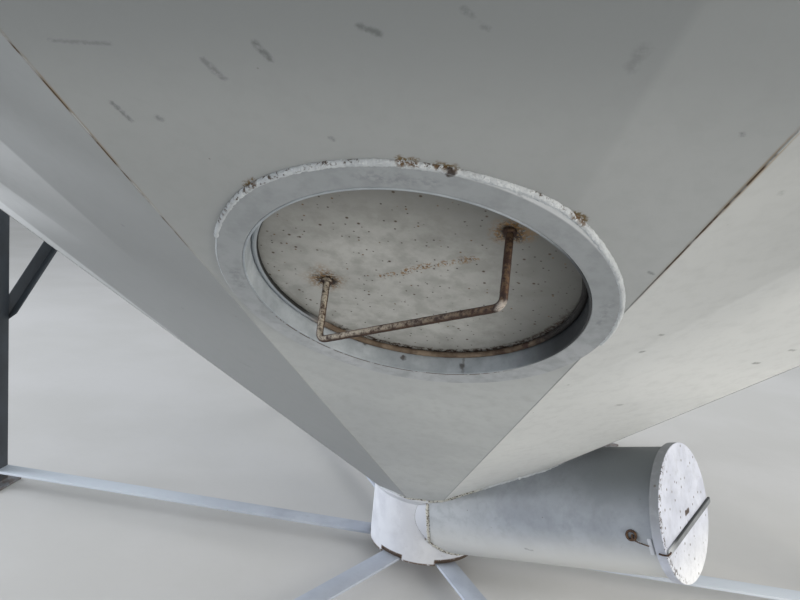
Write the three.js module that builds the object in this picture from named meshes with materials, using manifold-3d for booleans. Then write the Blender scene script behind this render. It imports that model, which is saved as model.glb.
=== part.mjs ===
// Hopper base of a grain silo: twelve flat steel plates welded into a cone that stands on six legs.
// A manhole sits in the front plate. A capped discharge tube leaves the outlet at the cone's foot.
// Millimetres, +Z up. The cone's axis is Z, the ground is Z = 0 and the manhole faces -Y.
import * as THREE from 'three';
import { ConvexGeometry } from 'three/addons/geometries/ConvexGeometry.js';
import { mergeVertices } from 'three/addons/utils/BufferGeometryUtils.js';
import Module from 'manifold-3d';

// Working gap between pieces that touch, and the length of a cutter that runs past all it cuts
const GAP = 0.3;
const CUTTER_REACH = 5000;

// How finely round pieces are divided
const RIM_SEGMENTS = 144;
const ROUND_SEGMENTS = 72;
const ROD_SIDES = 12;

// Cone: flat plates that would meet in one point below the outlet
const PLATE_COUNT = 12;
const PLATE_HALF_ANGLE = Math.PI / PLATE_COUNT;
const PLATE_THICKNESS = 4;
const APEX_HEIGHT = 145.3;
const PLATE_SLOPE = THREE.MathUtils.degToRad(38.574);
const CONE_FOOT_RADIUS = 236;
const RIM_RADIUS = 1911.5;
const BLANK_INNER_RADIUS = 118;
const BLANK_OUTER_RADIUS = 2100;

// Wall band around the rim, with its top edge turned out as a landing for the silo wall
const BAND_INNER_RADIUS = 1911.8;
const BAND_THICKNESS = 5;
const BAND_BOTTOM = 1622;
const BAND_HEIGHT = 300;
const FLANGE_REACH = 50;
const FLANGE_THICKNESS = 6;
const BAND_COUNT = 6;

// Legs: square tube on a flat foot plate, six of them, each under the middle of a plate
const LEG_COUNT = 6;
const LEG_SIZE = 76;
const LEG_WALL = 5;
const LEG_OUTER_FACE = 1910.3;
const LEG_INNER_FACE = LEG_OUTER_FACE - LEG_SIZE;
const LEG_CENTRE = LEG_OUTER_FACE - LEG_SIZE / 2;
const FOOT_SIZE = 150;
const FOOT_THICKNESS = 10;

// Ground ties: flat steel bar from under the outlet to every leg
const TIE_WIDTH = 76;
const TIE_THICKNESS = 10;
const TIE_TOP = 76;
const TIE_START = 165;

// Braces: steel angle in the plane of two neighbouring legs, from the side of one leg up to the
// nearest seam. The bay in front of the manhole has none.
const BRACE_COUNT = 5;
const BRACE_SIZE = 50;
const BRACE_THICKNESS = 5;
const BRACE_BAY_TURN = THREE.MathUtils.degToRad(-120);
const BRACE_SLOPE = THREE.MathUtils.degToRad(58.1);
const BRACE_LEG_HEIGHT = 649;
const BRACE_BLANK = 1100;

// Manhole in the front plate, measured from the cone's point up the slope of the plate
const MANHOLE_AZIMUTH = -90;
const MANHOLE_UP_SLOPE = 1732.5;
const MANHOLE_OFFSET = 12.8;
const NECK_INNER_RADIUS = 300;
const NECK_WALL = 4;
const NECK_DEPTH = 75;
const RING_OUTER_RADIUS = 349;
const RING_THICKNESS = 6;
const LID_RECESS = 40;
const LID_RADIUS = 294;
const LID_THICKNESS = 5;
const SEAT_ROD_RADIUS = 6;
const HANDLE_ROD_RADIUS = 6.5;
const HANDLE_BEND = 16;
const HANDLE_STEPS = 64;

// Handle's four corners: to the right, up the slope and out from the plate
const HANDLE_CORNERS = [[-173, -46, -LID_RECESS], [-160, -44, 85], [153, 166, 95], [152, 167, -LID_RECESS]];
const HANDLE_SINK = 3;

// Outlet collar around the axis
const COLLAR_RADIUS = 211;
const COLLAR_WALL = 4;
const COLLAR_BOTTOM = 70;
const COLLAR_SHOULDER = 298;
const COLLAR_TOP = 331;
const COLLAR_LIP = 8;
const GATE_HALF_WIDTH = 45;
const GATE_TOP = 88;
const UNDER_TUBE_TOP = 92;
const UNDER_TUBE_SIDES = [-62, 76];
const PAN_THICKNESS = 4;
const PAN_TOP = 104;

// Discharge tube and its slip-on cap
const TUBE_AZIMUTH = THREE.MathUtils.degToRad(-31.9);
const TUBE_RISE = THREE.MathUtils.degToRad(18.3);
const TUBE_AXIS_HEIGHT = 233;
const TUBE_RADIUS = 192;
const TUBE_WALL = 4;
const CAP_REACH = 993;
const CAP_RADIUS = 204;
const CAP_WALL = 5;
const CAP_FACE = 4;
const CAP_DEPTH = 29;
const STRAP_WIDTH = 20;
const STRAP_THICKNESS = 6;
const STRAP_ENDS = [[-190, -62], [217, -23]];

const wasm = await Module();
wasm.setup();

// Paints, as they look on the real thing
function paint(color, roughness, metalness) {
  return new THREE.MeshStandardMaterial({ color, roughness, metalness });
}

const PLATE_PAINT = paint(0xaeb1b3, 0.6, 0.1);
const BAND_PAINT = paint(0xb4b7b9, 0.6, 0.1);
const FRAME_PAINT = paint(0x8f9ba5, 0.6, 0.1);
const MANHOLE_PAINT = paint(0xb9bdbe, 0.55, 0.1);
const LID_PAINT = paint(0xa6a6a2, 0.65, 0.1);
const RUSTY_ROD = paint(0x6b4a36, 0.85, 0.2);
const OUTLET_PAINT = paint(0xc9cccf, 0.55, 0.1);
const TUBE_PAINT = paint(0xa9afb3, 0.55, 0.1);

const silo = new THREE.Group();

// Turns a three.js geometry into a solid for cutting and joining
function solid(geometry) {
  const plain = geometry.clone();
  plain.deleteAttribute('normal');
  plain.deleteAttribute('uv');
  const merged = mergeVertices(plain, 1e-3);
  return new wasm.Manifold(new wasm.Mesh({
    numProp: 3,
    vertProperties: new Float32Array(merged.attributes.position.array),
    triVerts: new Uint32Array(merged.index.array),
  }));
}

// Turns a finished solid back into a three.js geometry
function geometryOf(body) {
  const mesh = body.getMesh();
  const geometry = new THREE.BufferGeometry();
  geometry.setAttribute('position', new THREE.BufferAttribute(new Float32Array(mesh.vertProperties), 3));
  geometry.setIndex(new THREE.BufferAttribute(new Uint32Array(mesh.triVerts), 1));
  geometry.computeVertexNormals();
  return geometry;
}

function addPiece(name, body, material, group) {
  const mesh = new THREE.Mesh(geometryOf(body), material);
  mesh.name = name;
  group.add(mesh);
}

// Group turned about the cone's axis, for pieces that are built at azimuth zero
function turnedGroup(degrees) {
  const group = new THREE.Group();
  group.rotation.z = THREE.MathUtils.degToRad(degrees);
  silo.add(group);
  return group;
}

const turnAboutZ = (degrees) => new THREE.Matrix4().makeRotationZ(THREE.MathUtils.degToRad(degrees));

// Box between two corners
function box(low, high, matrix = new THREE.Matrix4()) {
  const geometry = new THREE.BoxGeometry(high[0] - low[0], high[1] - low[1], high[2] - low[2]);
  geometry.translate((low[0] + high[0]) / 2, (low[1] + high[1]) / 2, (low[2] + high[2]) / 2);
  return solid(geometry.applyMatrix4(matrix));
}

// Upright solid cylinder between two heights of its own frame
function cylinder(radius, low, high, matrix = new THREE.Matrix4(), segments = ROUND_SEGMENTS) {
  const geometry = new THREE.CylinderGeometry(radius, radius, high - low, segments);
  geometry.rotateX(Math.PI / 2);
  geometry.translate(0, 0, (low + high) / 2);
  return solid(geometry.applyMatrix4(matrix));
}

// Closed profile of [radius, height] points turned around Z
function turned(profile, matrix = new THREE.Matrix4(), segments = ROUND_SEGMENTS) {
  const points = [...profile, profile[0]].map(([radius, height]) => new THREE.Vector2(radius, height));
  const geometry = new THREE.LatheGeometry(points, segments);
  geometry.rotateX(Math.PI / 2);
  return solid(geometry.applyMatrix4(matrix));
}

const tube = (inner, outer, low, high, matrix, segments) => turned(
  [[inner, low], [outer, low], [outer, high], [inner, high]], matrix, segments,
);

// Steel angle along X: a flat leg on top and a leg hanging from its +Y edge
function angleBar(length, size, thickness) {
  const half = size / 2;
  const shape = new THREE.Shape();
  shape.moveTo(-half, 0);
  shape.lineTo(half, 0);
  shape.lineTo(half, -size);
  shape.lineTo(half - thickness, -size);
  shape.lineTo(half - thickness, -thickness);
  shape.lineTo(-half, -thickness);
  shape.closePath();
  const geometry = new THREE.ExtrudeGeometry(shape, { depth: length, bevelEnabled: false });
  const alongX = new THREE.Matrix4().makeBasis(
    new THREE.Vector3(0, 1, 0), new THREE.Vector3(0, 0, 1), new THREE.Vector3(1, 0, 0),
  );
  return geometry.applyMatrix4(alongX);
}

// Height of a plate's outer face above the ground at a distance from the axis, along its middle
const plateHeight = (distance) => APEX_HEIGHT + distance * Math.tan(PLATE_SLOPE);

// Corners of a ring of plates at one distance from the axis, lowered or raised as a whole
function plateCorners(circumradius, lift, sideGap) {
  const distance = circumradius * Math.cos(PLATE_HALF_ANGLE);
  const halfWidth = circumradius * Math.sin(PLATE_HALF_ANGLE) - sideGap;
  return [-1, 1].map((side) => new THREE.Vector3(distance, side * halfWidth, plateHeight(distance) + lift));
}

// Everything inside the cone as one solid, a little fuller than the plates, used to trim what meets them
function filledCone(matrix = new THREE.Matrix4()) {
  const lift = -GAP / Math.cos(PLATE_SLOPE);
  const points = [new THREE.Vector3(0, 0, APEX_HEIGHT + lift)];
  for (let k = 0; k < PLATE_COUNT; k += 1) {
    const corner = plateCorners(CUTTER_REACH, lift, 0)[1];
    corner.applyMatrix4(turnAboutZ(k * 360 / PLATE_COUNT));
    points.push(corner);
  }
  return solid(new ConvexGeometry(points).applyMatrix4(matrix));
}

const coneBody = filledCone();

// Discharge tube's frame: X level across it, Z along its axis
const tubeAlong = new THREE.Vector3(
  Math.cos(TUBE_AZIMUTH) * Math.cos(TUBE_RISE),
  Math.sin(TUBE_AZIMUTH) * Math.cos(TUBE_RISE),
  Math.sin(TUBE_RISE),
);
const tubeAcross = new THREE.Vector3(-Math.sin(TUBE_AZIMUTH), Math.cos(TUBE_AZIMUTH), 0);
const tubeUp = new THREE.Vector3().crossVectors(tubeAlong, tubeAcross);
const tubeFrame = new THREE.Matrix4().makeBasis(tubeAcross, tubeUp, tubeAlong);
tubeFrame.setPosition(0, 0, TUBE_AXIS_HEIGHT);
const tubeHole = (matrix) => cylinder(TUBE_RADIUS + GAP, 0, CAP_REACH, matrix);

// Manhole's frame on the front plate: X to the right, Y up the slope, Z straight out
const slopeUp = new THREE.Vector3(Math.cos(PLATE_SLOPE), 0, Math.sin(PLATE_SLOPE))
  .applyMatrix4(turnAboutZ(MANHOLE_AZIMUTH));
const slopeOut = new THREE.Vector3(Math.sin(PLATE_SLOPE), 0, -Math.cos(PLATE_SLOPE))
  .applyMatrix4(turnAboutZ(MANHOLE_AZIMUTH));
const slopeRight = new THREE.Vector3().crossVectors(slopeUp, slopeOut);
const manholeCentre = new THREE.Vector3(0, 0, APEX_HEIGHT)
  .addScaledVector(slopeUp, MANHOLE_UP_SLOPE)
  .addScaledVector(slopeRight, MANHOLE_OFFSET);
const manholeFrame = new THREE.Matrix4().makeBasis(slopeRight, slopeUp, slopeOut);
manholeFrame.setPosition(manholeCentre);
const neckOuterRadius = NECK_INNER_RADIUS + NECK_WALL;
const manhole = new THREE.Group();
manhole.applyMatrix4(manholeFrame);
silo.add(manhole);

// Cone plates: mitred along their seams, cut round at the rim and at the foot
const rimDisc = cylinder(RIM_RADIUS, 0, CUTTER_REACH, undefined, RIM_SEGMENTS);
const footHole = cylinder(CONE_FOOT_RADIUS, 0, CUTTER_REACH);
const plateBlank = [];
for (const circumradius of [BLANK_INNER_RADIUS, BLANK_OUTER_RADIUS]) {
  for (const lift of [0, PLATE_THICKNESS / Math.cos(PLATE_SLOPE)]) {
    plateBlank.push(...plateCorners(circumradius, lift, GAP / 2));
  }
}
const roundPlate = solid(new ConvexGeometry(plateBlank)).intersect(rimDisc).subtract(footHole);
for (let k = 0; k < PLATE_COUNT; k += 1) {
  const azimuth = k * 360 / PLATE_COUNT;
  const intoPlate = turnAboutZ(-azimuth);
  let plate = roundPlate.subtract(tubeHole(intoPlate.clone().multiply(tubeFrame)));
  if (azimuth === 360 + MANHOLE_AZIMUTH) {
    const hole = intoPlate.clone().multiply(manholeFrame);
    plate = plate.subtract(cylinder(neckOuterRadius + GAP, -NECK_DEPTH, NECK_DEPTH, hole));
  }
  addPiece(`cone_plate_${String(azimuth).padStart(3, '0')}`, plate, PLATE_PAINT, turnedGroup(azimuth));
}

// Wall band: six rolled plates that meet over the legs
const bandTop = BAND_BOTTOM + BAND_HEIGHT;
const bandOuterRadius = BAND_INNER_RADIUS + BAND_THICKNESS;
const flangeRadius = bandOuterRadius + FLANGE_REACH;
const wholeBand = turned([
  [BAND_INNER_RADIUS, BAND_BOTTOM],
  [bandOuterRadius, BAND_BOTTOM],
  [bandOuterRadius, bandTop - FLANGE_THICKNESS],
  [flangeRadius, bandTop - FLANGE_THICKNESS],
  [flangeRadius, bandTop],
  [BAND_INNER_RADIUS, bandTop],
], undefined, RIM_SEGMENTS);
const bandHalfSpan = Math.PI / BAND_COUNT;
const sectorFar = CUTTER_REACH * Math.cos(bandHalfSpan) + GAP;
const sectorSide = CUTTER_REACH * Math.sin(bandHalfSpan);
const sectorOutline = new THREE.Shape([
  new THREE.Vector2(GAP, 0),
  new THREE.Vector2(sectorFar, -sectorSide),
  new THREE.Vector2(sectorFar, sectorSide),
]);
const sectorGeometry = new THREE.ExtrudeGeometry(sectorOutline, { depth: CUTTER_REACH, bevelEnabled: false });
const bandPlate = wholeBand.intersect(solid(sectorGeometry));
for (let k = 0; k < BAND_COUNT; k += 1) {
  addPiece(`wall_band_${k + 1}`, bandPlate, BAND_PAINT, turnedGroup((k + 0.5) * 360 / BAND_COUNT));
}

// Legs, ground ties and braces: one of each at every leg's azimuth, all six alike
const halfLeg = LEG_SIZE / 2;
const halfBore = halfLeg - LEG_WALL;
const halfFoot = FOOT_SIZE / 2;
const footPlate = box(
  [LEG_CENTRE - halfFoot, -halfFoot, 0], [LEG_CENTRE + halfFoot, halfFoot, FOOT_THICKNESS],
);
const post = box([LEG_INNER_FACE, -halfLeg, 0], [LEG_OUTER_FACE, halfLeg, bandTop]);
const postBore = box(
  [LEG_CENTRE - halfBore, -halfBore, FOOT_THICKNESS], [LEG_CENTRE + halfBore, halfBore, bandTop],
);
const leg = post.add(footPlate).subtract(postBore).subtract(coneBody);

const groundTie = box(
  [TIE_START, -TIE_WIDTH / 2, TIE_TOP - TIE_THICKNESS], [LEG_INNER_FACE - GAP, TIE_WIDTH / 2, TIE_TOP],
);

// Brace's frame: X down its length, Y out of the bay and Z away from its upright side
const alongBay = new THREE.Vector3(Math.cos(BRACE_BAY_TURN), Math.sin(BRACE_BAY_TURN), 0);
const outOfBay = new THREE.Vector3(-alongBay.y, alongBay.x, 0);
const braceUp = alongBay.clone().multiplyScalar(Math.cos(BRACE_SLOPE)).setZ(Math.sin(BRACE_SLOPE));
const braceDown = braceUp.clone().negate();
const braceUnder = new THREE.Vector3().crossVectors(braceDown, outOfBay);
const braceStart = new THREE.Vector3(LEG_CENTRE, 0, BRACE_LEG_HEIGHT)
  .addScaledVector(braceUp, BRACE_BLANK)
  .addScaledVector(braceUnder, BRACE_THICKNESS)
  .addScaledVector(outOfBay, BRACE_THICKNESS - BRACE_SIZE / 2);
const braceFrame = new THREE.Matrix4().makeBasis(braceDown, outOfBay, braceUnder);
braceFrame.setPosition(braceStart);

// Sawn off flush with the leg's side and with the plates
const braceGeometry = angleBar(BRACE_BLANK, BRACE_SIZE, BRACE_THICKNESS).applyMatrix4(braceFrame);
const pastLegSide = box([0, -halfLeg - GAP, 0], [CUTTER_REACH, CUTTER_REACH, CUTTER_REACH]);
const brace = solid(braceGeometry).subtract(pastLegSide).subtract(coneBody);

for (let k = 0; k < LEG_COUNT; k += 1) {
  const group = turnedGroup(k * 360 / LEG_COUNT);
  addPiece(`leg_${k + 1}`, leg, FRAME_PAINT, group);
  addPiece(`ground_tie_${k + 1}`, groundTie, FRAME_PAINT, group);
  if (k < BRACE_COUNT) {
    addPiece(`brace_${k + 1}`, brace, FRAME_PAINT, group);
  }
}

// Manhole ring flat on the plate, and the short neck that passes through it
const manholeRing = tube(neckOuterRadius + GAP, RING_OUTER_RADIUS, GAP, RING_THICKNESS);
addPiece('manhole_ring', manholeRing, MANHOLE_PAINT, manhole);
const manholeNeck = tube(NECK_INNER_RADIUS, neckOuterRadius, -NECK_DEPTH, RING_THICKNESS);
addPiece('manhole_neck', manholeNeck, MANHOLE_PAINT, manhole);

// Round rod inside the neck that the lid rests on from within
const seatRadius = NECK_INNER_RADIUS - SEAT_ROD_RADIUS - GAP;
const seatGeometry = new THREE.TorusGeometry(seatRadius, SEAT_ROD_RADIUS, ROD_SIDES, ROUND_SEGMENTS);
seatGeometry.translate(0, 0, SEAT_ROD_RADIUS - LID_RECESS);
addPiece('manhole_seat', solid(seatGeometry), RUSTY_ROD, manhole);

// Lid and the bent rod welded to it as a handle
const lidFront = -LID_RECESS - GAP;
addPiece('manhole_lid', cylinder(LID_RADIUS, lidFront - LID_THICKNESS, lidFront), LID_PAINT, manhole);

// Path through corner points with each inner corner rounded off
function roundedPath(corners, bend) {
  const path = new THREE.CurvePath();
  let from = corners[0];
  for (let i = 1; i < corners.length - 1; i += 1) {
    const corner = corners[i];
    const before = corner.clone().add(from.clone().sub(corner).setLength(bend));
    const after = corner.clone().add(corners[i + 1].clone().sub(corner).setLength(bend));
    path.add(new THREE.LineCurve3(from, before));
    path.add(new THREE.QuadraticBezierCurve3(before, corner, after));
    from = after;
  }
  path.add(new THREE.LineCurve3(from, corners[corners.length - 1]));
  return path;
}

const rodSection = new THREE.Shape();
rodSection.absarc(0, 0, HANDLE_ROD_RADIUS, 0, 2 * Math.PI);
const handleCorners = HANDLE_CORNERS.map((corner) => new THREE.Vector3(...corner));
handleCorners[0].z -= HANDLE_SINK;
handleCorners[handleCorners.length - 1].z -= HANDLE_SINK;
const handleGeometry = new THREE.ExtrudeGeometry(rodSection, {
  steps: HANDLE_STEPS,
  curveSegments: ROD_SIDES / 2,
  bevelEnabled: false,
  extrudePath: roundedPath(handleCorners, HANDLE_BEND),
});
const belowHandle = cylinder(LID_RADIUS, -NECK_DEPTH, -LID_RECESS);
addPiece('lid_handle', solid(handleGeometry).subtract(belowHandle), RUSTY_ROD, manhole);

// Outlet collar: round sleeve that flares out to meet the plates, open to the discharge tube, with
// an opening over each tie and less depth under the tube
const collarInner = COLLAR_RADIUS - COLLAR_WALL;
const flareOuter = CONE_FOOT_RADIUS - GAP;
let collar = turned([
  [collarInner, COLLAR_BOTTOM],
  [COLLAR_RADIUS, COLLAR_BOTTOM],
  [COLLAR_RADIUS, COLLAR_SHOULDER],
  [flareOuter, COLLAR_TOP - COLLAR_LIP],
  [flareOuter, COLLAR_TOP],
  [flareOuter - COLLAR_WALL, COLLAR_TOP],
  [collarInner, COLLAR_SHOULDER + COLLAR_WALL],
]);
collar = collar.subtract(tubeHole(tubeFrame));
for (let k = 0; k < LEG_COUNT; k += 1) {
  const overTie = turnAboutZ(k * 360 / LEG_COUNT);
  const gateLow = [0, -GATE_HALF_WIDTH, 0];
  const gateHigh = [CONE_FOOT_RADIUS, GATE_HALF_WIDTH, GATE_TOP];
  collar = collar.subtract(box(gateLow, gateHigh, overTie));
}
const [underLeft, underRight] = UNDER_TUBE_SIDES;
const alongTube = new THREE.Matrix4().makeRotationZ(TUBE_AZIMUTH);
collar = collar.subtract(
  box([0, underLeft, 0], [CONE_FOOT_RADIUS, underRight, UNDER_TUBE_TOP], alongTube),
);
addPiece('outlet_collar', collar, OUTLET_PAINT, silo);

// Floor of the outlet: a pan on the inner ends of the ties. Its turned-up rim closes the openings.
const panBottom = TIE_TOP + GAP;
const panRadius = collarInner - GAP;
const panRim = tube(panRadius - PAN_THICKNESS, panRadius, panBottom, PAN_TOP).subtract(tubeHole(tubeFrame));
const outletFloor = cylinder(panRadius, panBottom, panBottom + PAN_THICKNESS).add(panRim);
addPiece('outlet_floor', outletFloor, OUTLET_PAINT, silo);

// Discharge tube: saddled onto the collar and let into the cone's plates
const discharge = new THREE.Group();
discharge.applyMatrix4(tubeFrame);
silo.add(discharge);
const intoTube = tubeFrame.clone().invert();
const tubeEnd = CAP_REACH - CAP_FACE - GAP;
const dischargeTube = tube(TUBE_RADIUS - TUBE_WALL, TUBE_RADIUS, 0, tubeEnd)
  .subtract(cylinder(COLLAR_RADIUS + GAP, -CUTTER_REACH, CUTTER_REACH, intoTube))
  .subtract(filledCone(intoTube));
addPiece('discharge_tube', dischargeTube, TUBE_PAINT, discharge);

// Slip-on cap, and the flat strap across its face
const capBody = turned([
  [0, CAP_REACH - CAP_FACE],
  [CAP_RADIUS - CAP_WALL, CAP_REACH - CAP_FACE],
  [CAP_RADIUS - CAP_WALL, CAP_REACH - CAP_DEPTH],
  [CAP_RADIUS, CAP_REACH - CAP_DEPTH],
  [CAP_RADIUS, CAP_REACH],
  [0, CAP_REACH],
]);
addPiece('tube_cap', capBody, OUTLET_PAINT, discharge);

const strapStart = new THREE.Vector2(...STRAP_ENDS[0]);
const strapEnd = new THREE.Vector2(...STRAP_ENDS[1]);
const strapRun = strapEnd.clone().sub(strapStart);
const strapGeometry = new THREE.BoxGeometry(strapRun.length(), STRAP_WIDTH, STRAP_THICKNESS);
strapGeometry.rotateZ(strapRun.angle());
const strapMiddle = strapStart.clone().add(strapEnd).multiplyScalar(0.5);
strapGeometry.translate(strapMiddle.x, strapMiddle.y, CAP_REACH + GAP + STRAP_THICKNESS / 2);
addPiece('cap_strap', solid(strapGeometry), FRAME_PAINT, discharge);

export default silo;
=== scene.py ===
# %% [markdown]
# # The foot of a grain silo
#
# A farm silo for grain ends below in a cone of flat steel plates on six legs. Grain slides down the
# cone, through the round collar at its point and out of the slanting tube. A round manhole with a
# loose lid sits in the front plate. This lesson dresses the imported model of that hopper: it keeps
# the flat plates, makes finer copies of the round and square pieces, adds welds, rust and lashing,
# and gives every surface the weathered grey enamel of the real one.

# %% Load the frame
import math
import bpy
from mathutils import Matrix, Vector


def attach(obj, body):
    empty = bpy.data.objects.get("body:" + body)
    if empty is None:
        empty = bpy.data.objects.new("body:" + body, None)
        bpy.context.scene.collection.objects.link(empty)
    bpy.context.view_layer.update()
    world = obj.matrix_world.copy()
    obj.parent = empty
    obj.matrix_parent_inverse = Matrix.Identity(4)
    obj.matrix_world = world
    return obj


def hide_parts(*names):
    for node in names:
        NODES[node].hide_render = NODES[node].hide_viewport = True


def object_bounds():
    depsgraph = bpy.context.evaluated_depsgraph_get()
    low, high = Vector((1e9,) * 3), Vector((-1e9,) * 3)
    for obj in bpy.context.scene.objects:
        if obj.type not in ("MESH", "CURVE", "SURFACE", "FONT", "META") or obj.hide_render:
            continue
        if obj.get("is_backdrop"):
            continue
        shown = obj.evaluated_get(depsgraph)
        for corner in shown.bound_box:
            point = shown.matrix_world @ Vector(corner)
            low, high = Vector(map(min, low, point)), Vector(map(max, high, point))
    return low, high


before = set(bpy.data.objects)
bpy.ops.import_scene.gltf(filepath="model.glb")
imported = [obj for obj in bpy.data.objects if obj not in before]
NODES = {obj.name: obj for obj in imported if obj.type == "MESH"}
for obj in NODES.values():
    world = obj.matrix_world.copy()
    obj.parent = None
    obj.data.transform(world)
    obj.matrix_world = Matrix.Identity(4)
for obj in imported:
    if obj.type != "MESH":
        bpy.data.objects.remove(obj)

from types import SimpleNamespace
import bmesh
import bpy
from mathutils import Matrix, Vector

CAD_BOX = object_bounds()

# %% [markdown]
# ## Where the viewer stands
#
# The hopper was seen from under its rim, from a wide lens tipped down and to one side. Blender could
# aim a camera with a Track To constraint, but the tilt matters here, because it sets how the seams
# lean. So the camera is placed by its own three axes, which were measured in the hopper's frame.

# %% Camera
CAMERA_PLACE = Vector((0.1429, -2.5455, 1.4056))
CAMERA_RIGHT = Vector((0.98524, 0.14200, 0.09563))
CAMERA_UP = Vector((-0.11565, 0.14015, 0.98335))
CAMERA_BACK = Vector((0.12624, -0.97989, 0.15451))
SENSOR_MM = 36
LENS_MM = 30.835


def link(obj):
    """Puts a new object into the scene."""
    bpy.context.scene.collection.objects.link(obj)
    return obj


def frame_from(x_axis, y_axis, z_axis, origin):
    """Matrix of a slanted frame, from its three axes and its origin."""
    return Matrix.Translation(origin) @ Matrix((x_axis, y_axis, z_axis)).transposed().to_4x4()


camera = link(bpy.data.objects.new("viewer", bpy.data.cameras.new("viewer")))
camera.data.sensor_fit = "HORIZONTAL"
camera.data.sensor_width = SENSOR_MM
camera.data.lens = LENS_MM
camera.matrix_world = frame_from(CAMERA_RIGHT, CAMERA_UP, CAMERA_BACK, CAMERA_PLACE)
bpy.context.scene.camera = camera
print("camera height", round(CAMERA_PLACE.z, 2), "m, lens", LENS_MM, "mm")

# %% [markdown]
# ## Colours and node trees
#
# Colours are read as sRGB hex, as a paint chart gives them, but a shader works in linear light, so
# one function turns them. Node trees are built by code as well. One small function adds a node, sets
# it up and links what it is given, which keeps each material short enough to read.

# %% Helpers for colours and nodes
MM = 0.001


def colour(hex_code):
    """Linear red, green, blue and alpha of an sRGB hex colour."""
    parts = [int(hex_code[i:i + 2], 16) / 255 for i in (1, 3, 5)]
    return [p / 12.92 if p <= 0.04045 else ((p + 0.055) / 1.055) ** 2.4 for p in parts] + [1.0]


def add_node(tree, kind, inputs=None, **settings):
    """Adds a node; inputs maps a socket's name or number to a value or to another node's output."""
    node = tree.nodes.new(kind)
    for name, value in settings.items():
        setattr(node, name, value)
    for key, value in (inputs or {}).items():
        if isinstance(value, bpy.types.NodeSocket):
            tree.links.new(value, node.inputs[key])
        else:
            node.inputs[key].default_value = value
    return node


print("mid grey is", [round(c, 3) for c in colour("#808080")[:3]])

# %% [markdown]
# ## Frames of the manhole and the tube
#
# Two groups of pieces sit at a slant: the manhole lies flat in the front plate, and the discharge
# tube leaves the foot at its own angle. Each gets a matrix, so that its pieces can be built upright
# around their own axis and their sizes stay readable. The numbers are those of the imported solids.

# %% Slanted frames
RIGHT = Vector((1, 0, 0))
UP = Vector((0, 0, 1))
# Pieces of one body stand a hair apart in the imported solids, in millimetres.
PIECE_GAP = 0.3
PLATE_SLOPE = math.radians(38.574)
CONE_POINT = 145.3 * MM
MANHOLE_CENTRE = Vector((12.8, -1354.475, 1225.557)) * MM
TUBE_AZIMUTH = math.radians(-31.9)
TUBE_RISE = math.radians(18.3)
TUBE_START = Vector((0, 0, 233)) * MM

up_slope = Vector((0, -math.cos(PLATE_SLOPE), math.sin(PLATE_SLOPE)))
out_of_plate = Vector((0, -math.sin(PLATE_SLOPE), -math.cos(PLATE_SLOPE)))
MANHOLE = frame_from(RIGHT, up_slope, out_of_plate, MANHOLE_CENTRE)

level_run = Vector((math.cos(TUBE_AZIMUTH), math.sin(TUBE_AZIMUTH), 0))
tube_along = level_run * math.cos(TUBE_RISE) + UP * math.sin(TUBE_RISE)
tube_across = Vector((-level_run.y, level_run.x, 0))
tube_up = tube_along.cross(tube_across)
TUBE = frame_from(tube_across, tube_up, tube_along, TUBE_START)


def in_manhole(right, up, out):
    """Point given in millimetres in the manhole's frame, as a point of the scene."""
    return MANHOLE @ (Vector((right, up, out)) * MM)


def in_tube(across, up, along):
    """Point given in millimetres in the tube's frame, as a point of the scene."""
    return TUBE @ (Vector((across, up, along)) * MM)


def polar(radius, angle):
    """X and Y of the point at a distance and an angle, in radians, from an axis."""
    return radius * math.cos(angle), radius * math.sin(angle)


print("tube ends at", [round(v, 3) for v in in_tube(0, 0, 993)])

# %% [markdown]
# ## Enamel that has stood outdoors
#
# The hopper is brushed with alkyd enamel in a light grey. Outdoors such paint chalks: it goes matt
# and pale in clouds, with darker grime where hands and machines rub. An image texture could carry
# that, but noise at real sizes works on every side and needs no unwrapping. A coat is started here,
# marks are laid over its colour one after another, and it is closed at the end.

# %% Small nodes that every coat needs
def maths(coat, operation, *values):
    """Result of a Math node."""
    return add_node(coat.tree, "ShaderNodeMath", dict(enumerate(values)), operation=operation).outputs[0]


def vectors(coat, operation, *values, **named):
    """Result of a Vector Math node; a length and a dot product come out as plain numbers."""
    inputs = {**dict(enumerate(values)), **named}
    node = add_node(coat.tree, "ShaderNodeVectorMath", inputs, operation=operation)
    return node.outputs["Value" if operation in ("LENGTH", "DOT_PRODUCT") else "Vector"]


def product(coat, first, *others):
    """Masks and numbers multiplied."""
    for other in others:
        first = maths(coat, "MULTIPLY", first, other)
    return first


def noise(coat, size_mm, detail=4, rough=0.5, output=0):
    """Noise with lumps of one size."""
    inputs = {"Vector": coat.place, "Scale": 1000 / size_mm, "Detail": detail, "Roughness": rough}
    return add_node(coat.tree, "ShaderNodeTexNoise", inputs).outputs[output]


def ramp(coat, value, low, high, start=0.0, end=1.0, kind="LINEAR"):
    """Goes from start to end while the value goes from low to high, and stays there beyond."""
    inputs = {0: value, 1: low, 2: high, 3: start, 4: end}
    return add_node(coat.tree, "ShaderNodeMapRange", inputs, interpolation_type=kind).outputs[0]


# %% [markdown]
# A coat is kept as a small record: its node tree, its colour so far and its heights so far. Each layer
# mixes one more colour over what lies below, as a brush would, and closing the coat wires the shader.

# %% Start, paint over and close a coat
GRIME_MM = 38
# Brush marks are finer than a pixel here, so their grain is drawn a little larger.
BRUSH_MM = 6


def lay_over(coat, hex_code, *masks):
    """Paints a colour over the coat where all the masks are 1."""
    inputs = {0: product(coat, *masks), 6: coat.colour, 7: colour(hex_code)}
    coat.colour = add_node(coat.tree, "ShaderNodeMix", inputs, data_type="RGBA").outputs[2]


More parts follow.
